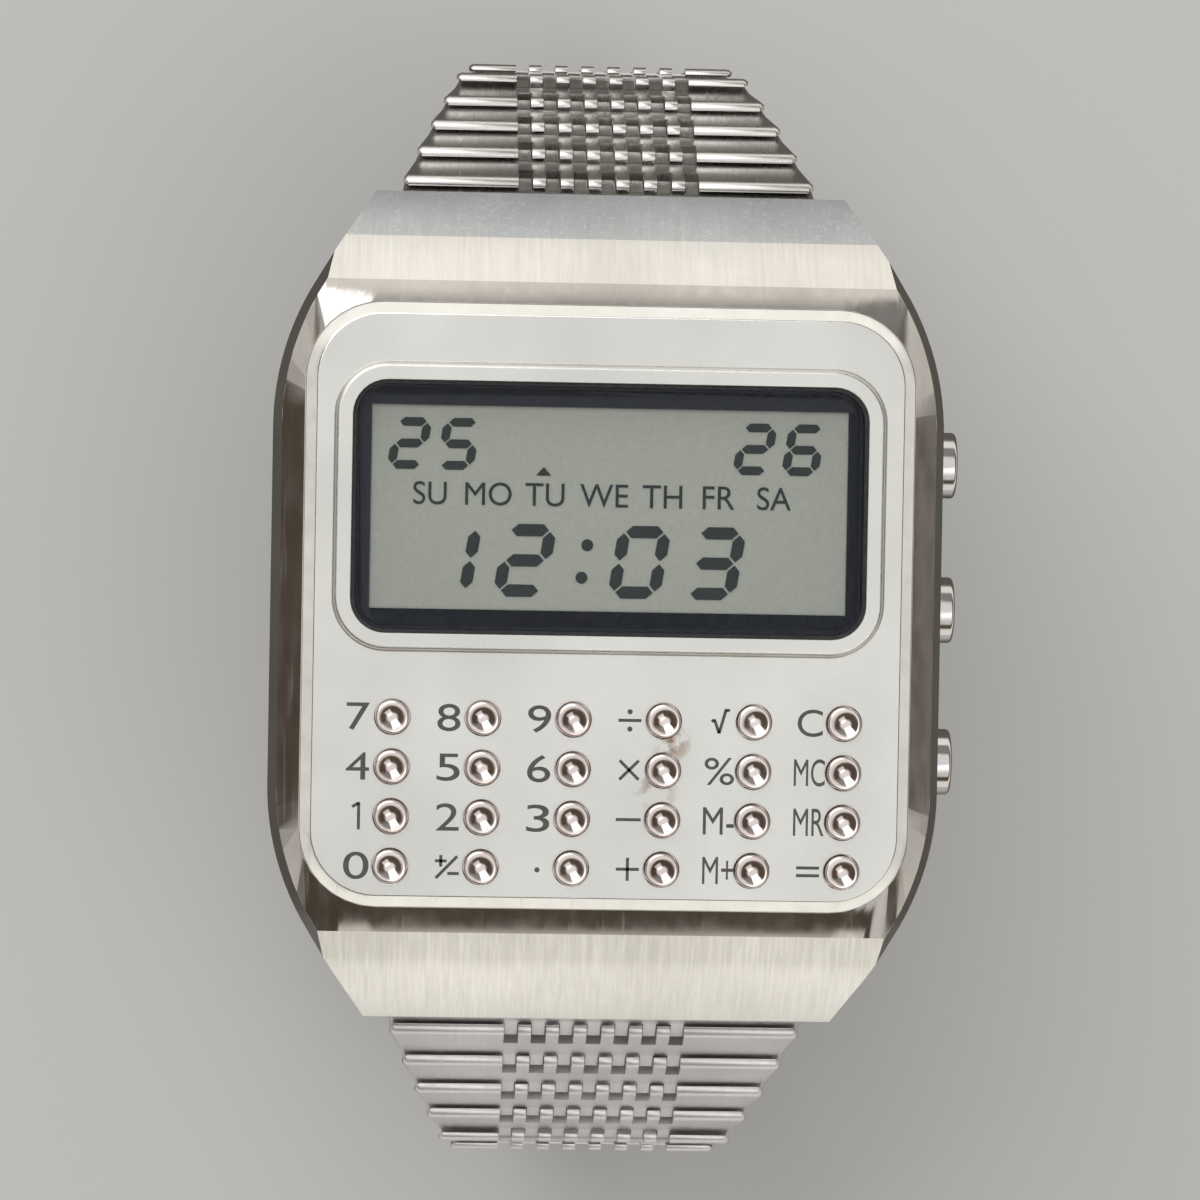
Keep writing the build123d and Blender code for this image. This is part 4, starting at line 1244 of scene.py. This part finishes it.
# %% World and lamps
def soft_lamp(name, place, size, power):
    """A square soft lamp that faces the watch."""
    deselect()
    bpy.ops.object.light_add(type="AREA", location=place)
    lamp = bpy.context.object
    lamp.name = name
    lamp.data.size = size
    lamp.data.energy = power
    lamp.rotation_euler = (-Vector(place)).to_track_quat("-Z", "Y").to_euler()


def bands(tree, height, stops):
    """A colour for each height in the sky. A stop is an angle and a colour."""
    ramp = tree.nodes.new("ShaderNodeValToRGB")
    marks = ramp.color_ramp.elements
    places = [(sin(radians(angle)) + 1) / 2 for angle, _ in stops]
    marks[0].position, marks[1].position = places[0], places[-1]
    for place in places[1:-1]:
        marks.new(place)
    for mark, (_, colour) in zip(marks, stops):
        mark.color = (*colour, 1)
    feed(tree, height, ramp.inputs["Fac"])
    return ramp.outputs["Color"]


overhead = (1.0, 1.0, 1.0)
brown = (0.10, 0.08, 0.06)
near_light = (1.06, 1.03, 0.96)
far_light = (1.15, 1.11, 1.04)
far_grey = (0.30, 0.30, 0.29)
side_light = (0.8, 0.78, 0.74)
near_sky = ((-5, near_light), (17, near_light), (22, brown), (58, brown), (64, (0.42, 0.42, 0.42)),
            (82, (0.55, 0.55, 0.54)), (89, overhead))
far_sky = ((-5, (0.40, 0.43, 0.46)), (0, far_light), (22, far_light), (27, far_grey),
           (55, far_grey), (61, overhead))
side_sky = ((-10, (0.16, 0.15, 0.14)), (0, side_light), (18, side_light), (24, brown),
            (50, brown), (62, overhead))
sky_camera_tone = (0.62, 0.62, 0.62)
sky_strength = 0.92
world = bpy.data.worlds.new("studio")
world.use_nodes = True
bpy.context.scene.world = world
tree = world.node_tree
background = tree.nodes["Background"]
axes = add_node(tree, "SeparateXYZ", {0: coordinates(tree, "Generated")}).outputs
height = spread(tree, axes["Z"], whole, (-1, 1))
far = spread(tree, axes["Y"], whole, (0.35, 0.65))
near = spread(tree, axes["Y"], whole, (-0.35, -0.65))
shade = blend(tree, far, bands(tree, height, side_sky), bands(tree, height, far_sky))
shade = blend(tree, near, shade, bands(tree, height, near_sky))
feed(tree, camera_sees(tree, sky_camera_tone, shade), background.inputs["Color"])
background.inputs["Strength"].default_value = sky_strength
soft_lamp("key lamp", (-0.25, 0.45, 0.55), 0.6, 2.0)
soft_lamp("fill lamp", (0.3, -0.4, 0.75), 0.6, 0.8)

# %% Camera
camera_place = Vector((-9.124, 4.538, 219.994)) * mm
back_way = Vector((-0.04117, 0.01904, 0.99897)).normalized()
rough_up = Vector((-0.01711, 0.99966, -0.01976))
right_way = rough_up.cross(back_way).normalized()
up_way = back_way.cross(right_way)
deselect()
bpy.ops.object.camera_add()
camera = bpy.context.object
camera.name = "photo camera"
turn = Matrix((right_way, up_way, back_way)).transposed().to_4x4()
camera.matrix_world = Matrix.Translation(camera_place) @ turn
camera.data.sensor_width = 36
camera.data.lens = 121.94
camera.data.clip_start = 0.005
bpy.context.scene.camera = camera
bpy.context.scene.view_settings.view_transform = "Standard"
